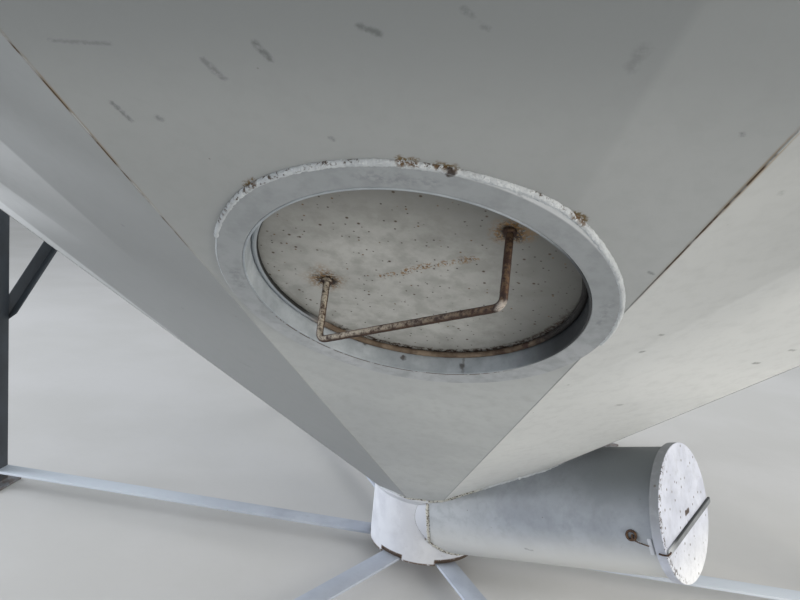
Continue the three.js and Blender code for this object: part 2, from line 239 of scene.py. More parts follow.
def start_coat(name, base, pale, dark, cloud_mm, grime):
    """Chalked enamel: broad pale clouds and small grime. Returns what later marks need."""
    material = bpy.data.materials.new(name)
    material.use_nodes = True
    tree = material.node_tree
    place = add_node(tree, "ShaderNodeTexCoord").outputs["Object"]
    coat = SimpleNamespace(material=material, tree=tree, place=place, colour=colour(base), heights=[])
    coat.cloud = noise(coat, cloud_mm, rough=0.55)
    lay_over(coat, pale, ramp(coat, coat.cloud, 0.35, 0.68, kind="SMOOTHSTEP"))
    lay_over(coat, dark, ramp(coat, noise(coat, GRIME_MM, 6, 0.65), 0.50, 0.80, 0.0, grime))
    return coat


def add_height(coat, socket, millimetres):
    """Raises the surface by bump where the socket is high."""
    coat.heights.append(maths(coat, "MULTIPLY", socket, millimetres * MM))


def close_coat(coat, matt, gloss, peel_mm):
    """Adds brush texture, sets how matt the paint is and wires the shader."""
    add_height(coat, noise(coat, BRUSH_MM, 3), peel_mm)
    total = coat.heights[0]
    for height in coat.heights[1:]:
        total = maths(coat, "ADD", total, height)
    bump = add_node(coat.tree, "ShaderNodeBump", {"Height": total, "Distance": 1.0, "Strength": 1.0})
    rough = ramp(coat, coat.cloud, 0.3, 0.7, gloss, matt)
    shader = coat.tree.nodes["Principled BSDF"]
    for name, socket in (("Base Color", coat.colour), ("Roughness", rough), ("Normal", bump.outputs[0])):
        coat.tree.links.new(socket, shader.inputs[name])
    return coat.material


print("grime comes in patches of", GRIME_MM, "mm, brush marks in lines of", BRUSH_MM, "mm")

# %% [markdown]
# ## Marks on the paint
#
# Scuffs, rust runs and splashes are not spread evenly: each has a place, a length and a width. A
# picture of each one would be needless. A mark is the set of points close to a short line, with
# a wobble of noise that breaks its edge, so every mark is a few nodes.

# %% Marks by place, and specks by chance
def grains(coat, size_mm, low, high):
    """Mask of noise grains of one size: 0 below the low level of the noise, 1 above the high one."""
    return ramp(coat, noise(coat, size_mm, rough=0.6), low, high)


def mark(coat, start, end, radius_mm, strength=1.0, edge=0.6, wobble=0.8):
    """Mask of a mark along a short line, its edge broken by noise as wide as the mark."""
    radius = radius_mm * MM
    lumps = vectors(coat, "SUBTRACT", noise(coat, 1.1 * radius_mm, output="Color"), (0.5, 0.5, 0.5))
    shift = vectors(coat, "SCALE", lumps, Scale=2 * wobble * radius)
    away = vectors(coat, "SUBTRACT", vectors(coat, "ADD", coat.place, shift), start)
    run = Vector(end) - Vector(start)
    if run.length > 0:
        share = vectors(coat, "DOT_PRODUCT", away, run / run.length_squared)
        along = vectors(coat, "SCALE", run, Scale=ramp(coat, share, 0.0, 1.0))
        away = vectors(coat, "SUBTRACT", away, along)
    far = vectors(coat, "LENGTH", away)
    return ramp(coat, far, radius, radius * (1 - edge), 0.0, strength, "SMOOTHSTEP")


def spot(coat, place, radius_mm, strength=1.0, **shape):
    """Mask of a round mark."""
    return mark(coat, place, place, radius_mm, strength, **shape)


def add_specks(coat, hex_code, spacing_mm, radius_mm, share, strength):
    """Paints small round specks: one in each cell of a Voronoi pattern, most of them left out."""
    scale = {"Vector": coat.place, "Scale": 1000 / spacing_mm}
    cells = add_node(coat.tree, "ShaderNodeTexVoronoi", scale).outputs
    limit = radius_mm / spacing_mm
    near = ramp(coat, cells["Distance"], limit, 0.5 * limit, 0.0, strength)
    pick = add_node(coat.tree, "ShaderNodeSeparateColor", {0: cells["Color"]}).outputs[0]
    lay_over(coat, hex_code, near, maths(coat, "LESS_THAN", pick, share))


# %% [markdown]
# Other marks follow the shape of a piece: paint is darker high up, chipped at a rim, rusty along a
# seam. The distance along a direction, from an axis or from the nearest spoke gives such masks.

# %% Masks by distance
def grade(coat, direction, low, high, origin=(0, 0, 0)):
    """Goes from 0 to 1 between two distances along a direction, counted from an origin, in metres."""
    level = Vector(direction).dot(Vector(origin))
    reach = vectors(coat, "DOT_PRODUCT", coat.place, direction)
    return ramp(coat, reach, low + level, high + level, kind="SMOOTHSTEP")


def ring_patches(coat, inner_mm, outer_mm, patch_mm, low, high, centre=MANHOLE_CENTRE, axis=out_of_plate):
    """Mask of noisy patches between two distances from an axis, as along a chipped rim."""
    away = vectors(coat, "SUBTRACT", coat.place, centre)
    far = vectors(coat, "LENGTH", vectors(coat, "CROSS_PRODUCT", away, axis))
    patches = ramp(coat, noise(coat, patch_mm, 5, 0.7), low, high)
    return product(coat, ramp(coat, far, inner_mm * MM, outer_mm * MM), patches)


def beside_spoke(coat, half_step):
    """Angle to the nearest spoke; the spokes stand at every second half step round the axis."""
    parts = add_node(coat.tree, "ShaderNodeSeparateXYZ", {0: coat.place}).outputs
    return maths(coat, "PINGPONG", maths(coat, "ARCTAN2", parts[1], parts[0]), half_step)


# %% [markdown]
# ## The cone's plates
#
# Each plate is 4 mm steel, flat on the whole, but it was pressed to meet the round wall above, so
# faint bends run down from the rim and die out towards the foot. Modelling them would move the
# plates by millimetres only. A bump height is enough: on one side of each bend the surface leans by
# a few degrees, and that side is painted paler as painted light. The seams carry a thin line of rust
# where the weld was ground flush.

# %% Bends, seam rust and weld rust
SEAM_STEP = math.radians(30)
BEND_ROUNDING = 12 * MM
STAIN_MM = 9

# Bends of the plates, seen from above: both ends as x, y in metres, the side that leans, by how many
# degrees, the heights in metres between which the bend sets in, and how much painted light that side gets
BENDS = [
    ((-0.631, -1.249), (-0.713, -1.424), -1, 3.0, (1.18, 1.42), 0.30),
    ((-0.775, -1.137), (-0.891, -1.225), -1, 5.0, (1.21, 1.34), 0.32),
    ((-0.867, -0.932), (-0.992, -1.096), -1, 6.0, (0.70, 0.95), 0.40),
    ((0.251, -1.613), (0.304, -1.819), 1, 1.5, (1.25, 1.45), 0.07),
    ((0.450, -1.205), (0.623, -1.384), 1, 3.0, (0.95, 1.12), 0.30),
]

# Where the hand-cut ring bulges: the angle on the ring, how far in millimetres, how broad in degrees
BULGES = [(54, 10, 15), (130, 4.5, 18)]

# Angles on the ring at which rust seeps out of its weld
RUSTY_WELDS = (48.6, 81.0, 89.4, 130.0)


def add_bend(coat, low_end, high_end, side, degrees, fade, painted_light):
    """Past the bend's line, on side 1 or -1, the plate leans and is painted paler, as painted light."""
    line = (Vector(high_end) - Vector(low_end)).normalized()
    across = Vector((-line.y, line.x)) * side
    reach = vectors(coat, "DOT_PRODUCT", coat.place, (across.x, across.y, 0))
    past = maths(coat, "SUBTRACT", reach, across.dot(Vector(low_end)))
    rising = grade(coat, UP, *fade)
    leaning = maths(coat, "SMOOTH_MAX", past, 0.0, BEND_ROUNDING)
    add_height(coat, product(coat, leaning, rising), -math.tan(math.radians(degrees)) / MM)
    # Painted light: the leaning side is painted paler
    lay_over(coat, "#e0e3e3", ramp(coat, past, -0.004, 0.008, 0.0, painted_light), rising)


def seam_line(coat, half_width_mm, low_z, high_z):
    """Mask of a thin broken line along the twelve seams, stronger higher up."""
    to_seam = maths(coat, "SUBTRACT", SEAM_STEP / 2, beside_spoke(coat, SEAM_STEP / 2))
    radius = vectors(coat, "LENGTH", vectors(coat, "MULTIPLY", coat.place, (1, 1, 0)))
    half_width = half_width_mm * MM
    near = ramp(coat, product(coat, to_seam, radius), half_width, 0.3 * half_width, kind="SMOOTHSTEP")
    broken = ramp(coat, noise(coat, 70, 5), 0.36, 0.52)
    return product(coat, near, broken, grade(coat, UP, low_z, high_z))


def hand_cut(degrees):
    """How far the hand-cut ring reaches past its true circle at an angle, in millimetres."""
    return sum(reach * math.exp(-((degrees - middle) / width) ** 2) for middle, reach, width in BULGES)


def weld_stains(coat, radius_mm):
    """Mask of the rust that creeps out of the ring's weld."""
    total = 0.0
    for degrees in RUSTY_WELDS:
        reach = radius_mm + hand_cut(degrees)
        ends = [in_manhole(*polar(reach, math.radians(degrees + turn)), 2) for turn in (-1.6, 1.6)]
        total = maths(coat, "MAXIMUM", total, mark(coat, *ends, STAIN_MM, edge=0.8))
    return product(coat, total, grains(coat, 5, 0.44, 0.50))


print("bends:", len(BENDS), "| rusty welds:", len(RUSTY_WELDS))

# %% [markdown]
# The scuffs are few, so each is listed with the place where it sits on the real plates. Clouds, bends
# with their painted light, and the painted light and shade of each plate go on first, and the marks of
# use lie over them.

# %% Plate paint with its scuffs
# Where the light scuffs sit: both ends as x, y, z in metres, then the radius in millimetres, strength
SCUFFS = [
    ((-0.411, -1.755, 1.545), (-0.333, -1.756, 1.546), 4, 0.45),
    ((-0.150, -1.769, 1.556), (-0.138, -1.752, 1.543), 6, 0.75),
    ((-0.220, -1.745, 1.537), (-0.204, -1.725, 1.521), 6, 0.55),
    ((-0.374, -1.680, 1.485), (-0.360, -1.656, 1.466), 5, 0.70),
    ((-0.318, -1.665, 1.473), (-0.314, -1.663, 1.471), 6, 0.60),
    ((-0.083, -1.656, 1.466), (-0.080, -1.655, 1.465), 5, 0.60),
    ((-0.025, -1.794, 1.576), (-0.006, -1.788, 1.571), 6, 0.80),
    ((0.086, -1.816, 1.593), (0.092, -1.812, 1.590), 6, 0.55),
    ((0.104, -1.803, 1.583), (0.110, -1.800, 1.580), 5, 0.45),
    ((0.270, -1.790, 1.573), (0.262, -1.770, 1.557), 9, 0.35),
    ((0.377, -1.477, 1.324), (0.384, -1.474, 1.321), 4, 0.60),
    ((0.404, -1.708, 1.507), (0.406, -1.707, 1.506), 4, 0.60),
    ((0.463, -1.250, 1.193), (0.468, -1.247, 1.192), 5, 0.75),
    ((0.448, -1.190, 1.146), (0.452, -1.188, 1.146), 6, 0.75),
    ((0.739, -0.969, 1.109), (0.752, -0.960, 1.109), 6, 0.85),
    ((0.795, -1.000, 1.153), (0.806, -0.990, 1.153), 6, 0.60),
    ((0.478, -0.893, 0.953), (0.490, -0.886, 0.954), 6, 0.65),
    ((0.493, -1.606, 1.451), (0.495, -1.604, 1.450), 6, 0.35),
    ((0.461, -1.554, 1.438), (0.468, -1.549, 1.437), 7, 0.25),
    ((0.330, -1.105, 1.040), (0.332, -1.104, 1.040), 3, 0.60),
    ((-0.541, -1.355, 1.297), (-0.538, -1.353, 1.296), 4, 0.60),
    ((-0.564, -1.040, 1.089), (-0.561, -1.039, 1.089), 4, 0.60),
    ((-0.489, -0.840, 0.920), (-0.458, -0.845, 0.912), 7, 0.30),
    ((-0.268, -0.918, 0.908), (-0.266, -0.917, 0.907), 3, 0.80),
]

# Alkyd enamel on flat plate, chalked pale in clouds; painted shade high up and low on the left plate,
# painted light low on the right plate and on the lower right
coat = start_coat("chalked_grey_enamel", "#bcbfbf", "#c8cbca", "#a2a5a4", 300, 0.35)
# Painted shade: darker high up
lay_over(coat, "#a3a6a6", grade(coat, UP, 0.90, 1.40))
lay_over(coat, "#868a8b", grade(coat, UP, 1.46, 1.60), 0.85)
left_seam, right_seam = math.radians(255), math.radians(285)
# Painted shade low on the left plate, painted light low on the right plate
shaded = grade(coat, (math.sin(left_seam), -math.cos(left_seam), 0), -0.002, 0.002)
lay_over(coat, "#808282", shaded, grade(coat, UP, 1.62, 1.15), 0.70)
sunny = grade(coat, (-math.sin(right_seam), math.cos(right_seam), 0), -0.002, 0.002)
lay_over(coat, "#dddfde", sunny, grade(coat, UP, 1.62, 1.10), 0.62)
for row in BENDS:
    add_bend(coat, *row)
# Painted light on the lower right of the cone
lay_over(coat, "#d6d9d9", grade(coat, RIGHT, 0.18, 0.42), grade(coat, UP, 1.50, 1.30), 0.22)
lay_over(coat, "#8a8d8c", grains(coat, 30, 0.46, 0.72), 0.14)
broken = grains(coat, 8, 0.30, 0.52)
for start, end, radius_mm, strength in SCUFFS:
    scuff = mark(coat, start, end, 1.25 * radius_mm, 0.95 * strength, edge=0.95, wobble=0.6)
    lay_over(coat, "#5f6363", scuff, broken)
add_specks(coat, "#5d574f", 55, 2.2, 0.22, 0.6)
lay_over(coat, "#6a5732", weld_stains(coat, 358), 0.95)
lay_over(coat, "#8f8370", seam_line(coat, 6, 1.22, 1.5))
lay_over(coat, "#4a3a2b", seam_line(coat, 2.0, 1.20, 1.36))
add_height(coat, noise(coat, 420, 1), 5.0)
PLATE_PAINT = close_coat(coat, matt=0.60, gloss=0.46, peel_mm=0.1)
print("scuffs on the plates:", len(SCUFFS))

# %% [markdown]
# ## Paints of the other pieces
#
# The same enamel covers the frame. The legs stand in the hopper's shade, which is painted into their
# coat as near black. The flat ties near the floor face the open light, and that blue light is painted
# into their coat; they are paler towards the outer ends. The collar is nearly white with chalk; the
# tube is cooler, with painted shade on top, where the cone keeps the light off it, and painted light
# below. Separate coats could each be one plain colour, but the differences along a piece, weathering
# as well as painted light and shade, are what tells the eye how it stands and weathers.

# %% Frame, band, collar and outlet paints
# Alkyd enamel, painted near black as the hopper's shade; scuffed pale and rusty at the damp foot
coat = start_coat("painted_shade_leg_enamel", "#33383d", "#3f454b", "#242729", 180, 0.4)
add_specks(coat, "#3e3029", 40, 3.0, 0.25, 0.8)
lay_over(coat, "#8b9095", grade(coat, UP, 0.02, 0.012), 0.7)
lay_over(coat, "#5a463a", grade(coat, UP, 0.10, 0.012), grains(coat, 30, 0.40, 0.66), 0.8)
SHADED_LEG_PAINT = close_coat(coat, matt=0.65, gloss=0.48, peel_mm=0.2)

# Satin enamel on flat bar, its blue tint painted sky light; paler towards the outer ends
coat = start_coat("painted_sky_light_tie_enamel", "#acb4c2", "#bcc4d0", "#8e96a2", 180, 0.35)
lay_over(coat, "#c9d2dc", ramp(coat, vectors(coat, "LENGTH", coat.place), 0.6, 1.2))
add_specks(coat, "#d5d9dc", 48, 2.2, 0.2, 0.6)
add_specks(coat, "#6b5a4e", 40, 2.4, 0.2, 0.7)
SKY_LIT_TIE_PAINT = close_coat(coat, matt=0.65, gloss=0.48, peel_mm=0.2)

# Chalked enamel on the wall's rolled plates
coat = start_coat("chalked_wall_enamel", "#a9acae", "#b8bbbc", "#8f9292", 320, 0.3)
add_specks(coat, "#6a5646", 60, 2.6, 0.2, 0.7)
BAND_PAINT = close_coat(coat, matt=0.62, gloss=0.45, peel_mm=0.2)

# Thick brushed enamel, chalked nearly white, with a rusty lower edge
COLLAR_RADIUS = 211
TIE_STEP = math.radians(60)
coat = start_coat("white_chalked_enamel", "#c8cbd2", "#d6d9df", "#a9abb0", 90, 0.35)
lay_over(coat, "#6f655c", spot(coat, (-0.012, -0.212, 0.255), 4, 0.8))
lay_over(coat, "#6f655c", mark(coat, (0.020, -0.211, 0.175), (0.020, -0.211, 0.172), 5, 0.8))
add_specks(coat, "#8a8078", 26, 1.8, 0.3, 0.6)
lay_over(coat, "#5c4a3c", grade(coat, UP, 0.078, 0.073), grains(coat, 12, 0.36, 0.46))
# The opening over every tie has a burnt, rusty edge.
from_tie = product(coat, beside_spoke(coat, TIE_STEP / 2), COLLAR_RADIUS * MM)
burnt = product(coat, ramp(coat, from_tie, 0.052, 0.048), grade(coat, UP, 0.096, 0.091))
lay_over(coat, "#4f3d30", burnt, grains(coat, 12, 0.30, 0.42))
COLLAR_PAINT = close_coat(coat, matt=0.6, gloss=0.45, peel_mm=0.25)

# Bare steel, rusted through and dull, and dark enough to be painted shade where it shows under the tube
coat = start_coat("rusted_pan_steel_and_painted_shade", "#41362e", "#5a4b3f", "#2a221d", 60, 0.7)
PAN_RUST_AND_SHADE = close_coat(coat, matt=0.9, gloss=0.7, peel_mm=0.5)
print("paints so far:", len(bpy.data.materials))

# %% [markdown]
# The tube and the collar were painted together. The collar's white coat was brushed on past the weld,
# up to an upright line, and where the joint's weld left gaps they stay dark. The cap is a loose lid of
# sheet steel that gets knocked about, so its paint is chipped along the rim and coarse near the
# bottom. The chips are found by distance from the cap's middle: inside the rim's last few millimetres
# noise decides where bare, rusty steel shows.

# %% Tube, cap and strap paints
JOINT_SLANT = Vector((1, 0, 0.13))
JOINT_LEVEL = 0.055
CAP_FACE = 993

# Satin enamel on rolled sheet: painted shade on top, painted light below, and chalked pale beside the
# collar
coat = start_coat("cool_grey_tube_enamel", "#8f959d", "#9fa5ad", "#7b8087", 130, 0.45)
lay_over(coat, "#bcc0c2", grade(coat, tube_along, 0.60, 0.30), 0.6)
lay_over(coat, "#83888d", grains(coat, 30, 0.46, 0.66), 0.35)
add_specks(coat, "#5d5046", 30, 2.2, 0.35, 0.8)
# Painted light on the tube's underside
lay_over(coat, "#d9dad8", grade(coat, tube_up, 0.0, -0.14, TUBE_START), 0.95)
# Painted shade on top towards the cap, where the cone keeps the light off
towards_cap = grade(coat, tube_along, 0.45, 0.95, TUBE_START)
lay_over(coat, "#6b7175", towards_cap, grade(coat, tube_up, -0.02, 0.15, TUBE_START))
lay_over(coat, "#777a7d", mark(coat, in_tube(-165, -95, 520), in_tube(-160, -100, 545), 6, 0.5))
lay_over(coat, "#c8cbd2", grade(coat, JOINT_SLANT, JOINT_LEVEL + 0.001, JOINT_LEVEL - 0.001))
gap_from = grade(coat, JOINT_SLANT, JOINT_LEVEL + 0.002, JOINT_LEVEL + 0.004)
gap_to = grade(coat, JOINT_SLANT, JOINT_LEVEL + 0.010, JOINT_LEVEL + 0.006)
lay_over(coat, "#5c5348", gap_from, gap_to, grains(coat, 7, 0.50, 0.55))
TUBE_PAINT = close_coat(coat, matt=0.6, gloss=0.42, peel_mm=0.2)

# Chalked enamel on a loose sheet-steel cap, chipped to bare metal at the rim; painted shade on the rim's
# upper side, and the face whiter towards the bottom
coat = start_coat("white_cap_enamel", "#bcc1cf", "#cdd2df", "#9a9ea8", 90, 0.5)
on_face = grade(coat, tube_along, 0.989, 0.9925, TUBE_START)
on_rim = grade(coat, tube_along, 0.992, 0.990, TUBE_START)
# Painted shade on the upper side of the rim
lay_over(coat, "#85898e", on_rim, grade(coat, UP, 0.42, 0.62))
lay_over(coat, "#e9ebee", on_face, grade(coat, UP, 0.52, 0.32))
chips = ring_patches(coat, 184, 194, 11, 0.52, 0.55, TUBE_START, tube_along)
lay_over(coat, "#433a34", chips, on_face, grade(coat, tube_across, -0.03, -0.15))
rust_ends = in_tube(2, -4, CAP_FACE), in_tube(28, -4, CAP_FACE)
lay_over(coat, "#43352c", mark(coat, *rust_ends, 10, edge=0.5, wobble=0.6))
add_specks(coat, "#5f5852", 22, 5.0, 0.55, 0.9)
lay_over(coat, "#a9adb4", grains(coat, 26, 0.48, 0.66), 0.3)
add_height(coat, product(coat, noise(coat, 12, 5), grade(coat, UP, 0.52, 0.38)), 3.0)
CAP_PAINT = close_coat(coat, matt=0.6, gloss=0.42, peel_mm=0.3)

# Worn enamel on flat bar, with a painted shadow along its lower edge
STRAP_START = Vector((-190, -62, CAP_FACE + PIECE_GAP))
STRAP_END = Vector((217, -23, CAP_FACE + PIECE_GAP))
strap_run = STRAP_END - STRAP_START
strap_turn = Matrix.Rotation(math.atan2(strap_run.y, strap_run.x), 4, "Z")
strap_frame = TUBE @ Matrix.Translation(STRAP_START * MM) @ strap_turn
coat = start_coat("worn_strap_enamel", "#6d7175", "#83878b", "#515559", 60, 0.6)
# Painted shadow along the strap's edge
lay_over(coat, "#24282b", grade(coat, strap_frame.col[1].xyz, 0.003, 0.007, strap_frame.translation))
lay_over(coat, "#a7abaf", grade(coat, tube_across, -0.11, -0.18))
STRAP_PAINT = close_coat(coat, matt=0.7, gloss=0.45, peel_mm=0.3)
print("paints so far:", len(bpy.data.materials))

# %% [markdown]
# The manhole's ring is whiter where the brush went over its weld. In the neck rust drips from the seat
# rod. Splashes round the feet of the handle are the lid's strongest marks: dark scale in the middle,
# orange-brown dust around it, and one long brown run between the feet.

# %% Manhole paints
HANDLE_CORNERS = [(-173, -46, -41), (-160, -44, 85), (153, 166, 95), (152, 167, -41)]
# Smears on the ring, drips in the neck and the rusty run on the lid, in the manhole's frame, in mm
SMEARS = [((-322, -20, 6), (-318, 30, 6)), ((318, -10, 6), (326, 60, 6)), ((-60, 320, 6), (40, 326, 6))]
DRIPS = [((-36, -299, -20), 8), ((-22, -299, -42), 7), ((92, -286, -12), 9), ((-120, -275, -30), 5)]
RUNS = [((-70, -12, -40), (-15, 12, -40), 10), ((-18, 18, -40), (20, 42, -40), 12),
        ((40, 46, -40), (100, 80, -40), 12)]

# Brushed enamel on flat plate, whiter where the brush went over the weld; painted shade high up
coat = start_coat("cool_manhole_enamel", "#b4b8bb", "#c1c4c7", "#999da0", 140, 0.35)
# Painted shade: darker high up
lay_over(coat, "#8e9396", grade(coat, UP, 1.02, 1.32), 0.70)
lay_over(coat, "#85898c", grains(coat, 30, 0.44, 0.66), 0.45)
lay_over(coat, "#33261d", spot(coat, in_manhole(63, 346, 6), 9, 0.95, edge=0.5))
for start, end in SMEARS:
    smear = mark(coat, in_manhole(*start), in_manhole(*end), 24, 0.5, edge=1.0)
    lay_over(coat, "#777b7e", smear, grains(coat, 9, 0.42, 0.60))
add_specks(coat, "#6a5d52", 34, 1.5, 0.2, 0.7)
upper_right = product(coat, grade(coat, RIGHT, -0.02, 0.06), grade(coat, UP, 1.22, 1.28))
lay_over(coat, "#d3d6d8", ring_patches(coat, 347, 350, 40, 0.30, 0.40), upper_right)
lower_left = grade(coat, -0.35 * RIGHT - up_slope, 0.14, 0.24, MANHOLE_CENTRE)
lay_over(coat, "#54412f", ring_patches(coat, 308.5, 306.0, 26, 0.44, 0.48), lower_left)
RING_PAINT = close_coat(coat, matt=0.58, gloss=0.42, peel_mm=0.2)

# Thin enamel inside the rolled neck, with drips of rust from the seat rod and painted shade on its right
# side
coat = start_coat("blue_grey_neck_enamel", "#a6adb3", "#b5bcc1", "#858b90", 70, 0.5)
for place, radius_mm in DRIPS:
    lay_over(coat, "#3d2f26", spot(coat, in_manhole(*place), radius_mm, 0.85))
lay_over(coat, "#5c564f", mark(coat, in_manhole(94, -285, -30), in_manhole(96, -285, 4), 4, 0.5))
add_specks(coat, "#5a4d42", 26, 1.6, 0.2, 0.7)
lay_over(coat, "#7d858b", grains(coat, 40, 0.40, 0.62), 0.4)
# Painted shade on the right side of the neck
lay_over(coat, "#2c2f32", grade(coat, RIGHT, 0.16, 0.29))
NECK_PAINT = close_coat(coat, matt=0.6, gloss=0.45, peel_mm=0.25)

# Old enamel kept from the rain: matt, yellowed and flecked with rust; painted shade round the rim and at
# the right end
coat = start_coat("sheltered_lid_enamel", "#b4b4b0", "#c0c0bc", "#989892", 110, 0.6)
# Painted shade round the rim, most at the upper right
lay_over(coat, "#5f5f5b", ring_patches(coat, 150, 390, 90, 0.10, 0.30, in_manhole(-60, -70, 0)))
lay_over(coat, "#80807a", grains(coat, 40, 0.44, 0.62), 0.40)
# Painted shade at the right end, where the neck's wall shadows the lid
lay_over(coat, "#5a5a56", grade(coat, RIGHT, 0.10, 0.28), 0.45)
add_specks(coat, "#3b322a", 13, 2.2, 0.55, 1.0)
add_specks(coat, "#4d3f30", 21, 3.4, 0.40, 1.0)
add_specks(coat, "#6b5130", 17, 2.4, 0.35, 1.0)
lower_right = grade(coat, 0.35 * RIGHT - up_slope, 0.10, 0.22, MANHOLE_CENTRE)
lay_over(coat, "#35261b", ring_patches(coat, 276, 283, 9, 0.46, 0.52), lower_right)
for start, end, radius_mm in RUNS:
    run_mask = mark(coat, in_manhole(*start), in_manhole(*end), radius_mm, edge=0.9)
    lay_over(coat, "#8a6326", run_mask, grains(coat, 5, 0.51, 0.54))
    lay_over(coat, "#3f2c18", run_mask, grains(coat, 4, 0.58, 0.61))
for right, up, _ in (HANDLE_CORNERS[0], HANDLE_CORNERS[-1]):
    foot = in_manhole(right, up, -40)
    lay_over(coat, "#8c6420", spot(coat, foot, 50, edge=0.9, wobble=0.7), grains(coat, 5, 0.44, 0.50))
    lay_over(coat, "#2c1e12", spot(coat, foot, 36, edge=0.8, wobble=0.7), grains(coat, 4, 0.46, 0.51))
    lay_over(coat, "#2a1e14", spot(coat, foot, 20, 0.95))
LID_PAINT = close_coat(coat, matt=0.72, gloss=0.5, peel_mm=0.25)
print("paints so far:", len(bpy.data.materials))

# %% [markdown]
# Rods were never painted well and have rusted all round. Hands have rubbed the handle's outer face, so
# old paint and bright scale show there, most at the left, and that face also carries a painted
# highlight. Weld beads lie under thick enamel, and rust seeps out where the brush missed.

# %% Rusty rods and painted welds
def start_rust(name, dark, mid, bright, grain_mm=6):
    """Old rust: dark scale and brighter dust in grains, thick enough to be rough to the touch."""
    rust = start_coat(name, mid, bright, dark, 6 * grain_mm, 0.9)
    add_height(rust, noise(rust, grain_mm, 6, 0.7), 0.18 * grain_mm)
    return rust


# Bare round steel, rusted dark; pale on the outer face, partly rubbed bright and partly painted highlight
coat = start_rust("rusted_rod_steel_and_painted_highlight", "#1a110c", "#33211a", "#4a3324")
normal = add_node(coat.tree, "ShaderNodeNewGeometry").outputs["Normal"]
rubbed_and_lit_face = ramp(coat, vectors(coat, "DOT_PRODUCT", normal, (0.1, -0.90, 0.42)), 0.45, 0.80)
lay_over(coat, "#6b5238", rubbed_and_lit_face, grains(coat, 9, 0.46, 0.56), 0.7)
lay_over(coat, "#b3aa9a", rubbed_and_lit_face, grade(coat, RIGHT, 0.20, -0.14), grains(coat, 9, 0.36, 0.54))
lay_over(coat, "#b5aea6", spot(coat, in_manhole(*HANDLE_CORNERS[2]), 13, 0.8))
lay_over(coat, "#2a1c14", grains(coat, 4, 0.56, 0.60), 0.5)
ROD_RUST_AND_HIGHLIGHT = close_coat(coat, matt=0.9, gloss=0.75, peel_mm=0.1)

# Bare round steel with dust in its rust; painted over where the neck's brush reached it, with a painted
# shadow beside the lid there and painted shade at its right end
coat = start_rust("brown_grey_rusted_rod_and_painted_shade", "#2e221a", "#615141", "#8c7c6b")
lay_over(coat, "#3a241a", grains(coat, 24, 0.48, 0.60), grade(coat, RIGHT, 0.05, 0.25))
upper_part = grade(coat, up_slope, -0.22, -0.16, MANHOLE_CENTRE)
neck_coloured_and_shaded_part = product(coat, grade(coat, RIGHT, -0.13, -0.19), upper_part)
lay_over(coat, "#9aa1a7", neck_coloured_and_shaded_part)
# Painted shadow along the inner edge, beside the lid
lay_over(coat, "#1d1d1c", neck_coloured_and_shaded_part, ring_patches(coat, 290.2, 288.8, 60, 0.0, 0.1))
# Painted shade at the right end, where the rod goes into the dark
lay_over(coat, "#1d1b1a", grade(coat, RIGHT, 0.22, 0.28))
SEAT_RUST_AND_SHADE = close_coat(coat, matt=0.9, gloss=0.7, peel_mm=0.1)

# Weld beads under thick enamel; rust seeps out where the brush missed
coat = start_coat("painted_weld", "#c3c8cc", "#d3d8db", "#a2a6a9", 30, 0.7)
for edge_mm, low_x, high_x in ((353.5, 0.12, 0.08), (363.0, 0.08, 0.12)):
    outer_edge = ring_patches(coat, edge_mm - 1, edge_mm + 1, 9, 0.54, 0.60)
    lay_over(coat, "#5a524b", outer_edge, grade(coat, RIGHT, low_x, high_x), grade(coat, UP, 0.90, 0.95))
lay_over(coat, "#5d4526", weld_stains(coat, 355))
lay_over(coat, "#33261d", spot(coat, in_manhole(63, 347, 5), 9, 0.95, edge=0.5))
add_specks(coat, "#6a5646", 20, 2.0, 0.12, 0.8)
near_outlet = product(coat, grade(coat, UP, 0.46, 0.42), grade(coat, RIGHT, -0.11, -0.06))
lay_over(coat, "#c9c6b8", near_outlet, 0.7)
lay_over(coat, "#4b4238", near_outlet, grains(coat, 9, 0.53, 0.57))
add_height(coat, grains(coat, 4, 0.30, 0.70), 1.6)
BEAD_PAINT = close_coat(coat, matt=0.55, gloss=0.38, peel_mm=0.4)

# Seams ground nearly flush, thinly painted, rusting higher up
coat = start_coat("ground_flush_weld", "#9fa2a2", "#acafaf", "#858888", 120, 0.4)
lay_over(coat, "#4a3928", ramp(coat, noise(coat, 60, 5), 0.38, 0.50), grade(coat, UP, 1.20, 1.36))
FLUSH_PAINT = close_coat(coat, matt=0.7, gloss=0.5, peel_mm=0.3)
print("paints and rusts:", len(bpy.data.materials))

# %% [markdown]
# ## Plates carried over
#
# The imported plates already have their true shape, so they stay as they are. Only what fills their
# material slots changes.

# %% Paint the plates
kept = {name: PLATE_PAINT for name in NODES if name.startswith("cone_plate")}
kept["outlet_floor"] = PAN_RUST_AND_SHADE
for name, paint in kept.items():
    for slot in NODES[name].material_slots:
        slot.material = paint
print("packed pieces painted:", len(kept))

# %% [markdown]
# ## Rolled and sawn steel
#
# Real angle, square tube and plate have edges that are slightly round, and that thin bright line
# along an edge tells the eye that it is steel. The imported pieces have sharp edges, so each is copied,
# its loose triangles are joined, flat regions are cleaned up and a small bevel rounds the edges.

# %% Soft-edged copies of the frame and the wall band
def plain_mesh(obj):
    """Evaluates the modifiers into a plain mesh and removes them."""
    graph = bpy.context.evaluated_depsgraph_get()
    mesh = bpy.data.meshes.new_from_object(obj.evaluated_get(graph))
    obj.modifiers.clear()
    obj.data = mesh
    return mesh


def smooth_by_angle(mesh, degrees):
    """Shades the mesh smooth, but for edges sharper than an angle."""
    mesh.polygons.foreach_set("use_smooth", [True] * len(mesh.polygons))
    mesh.set_sharp_from_angle(angle=math.radians(degrees))


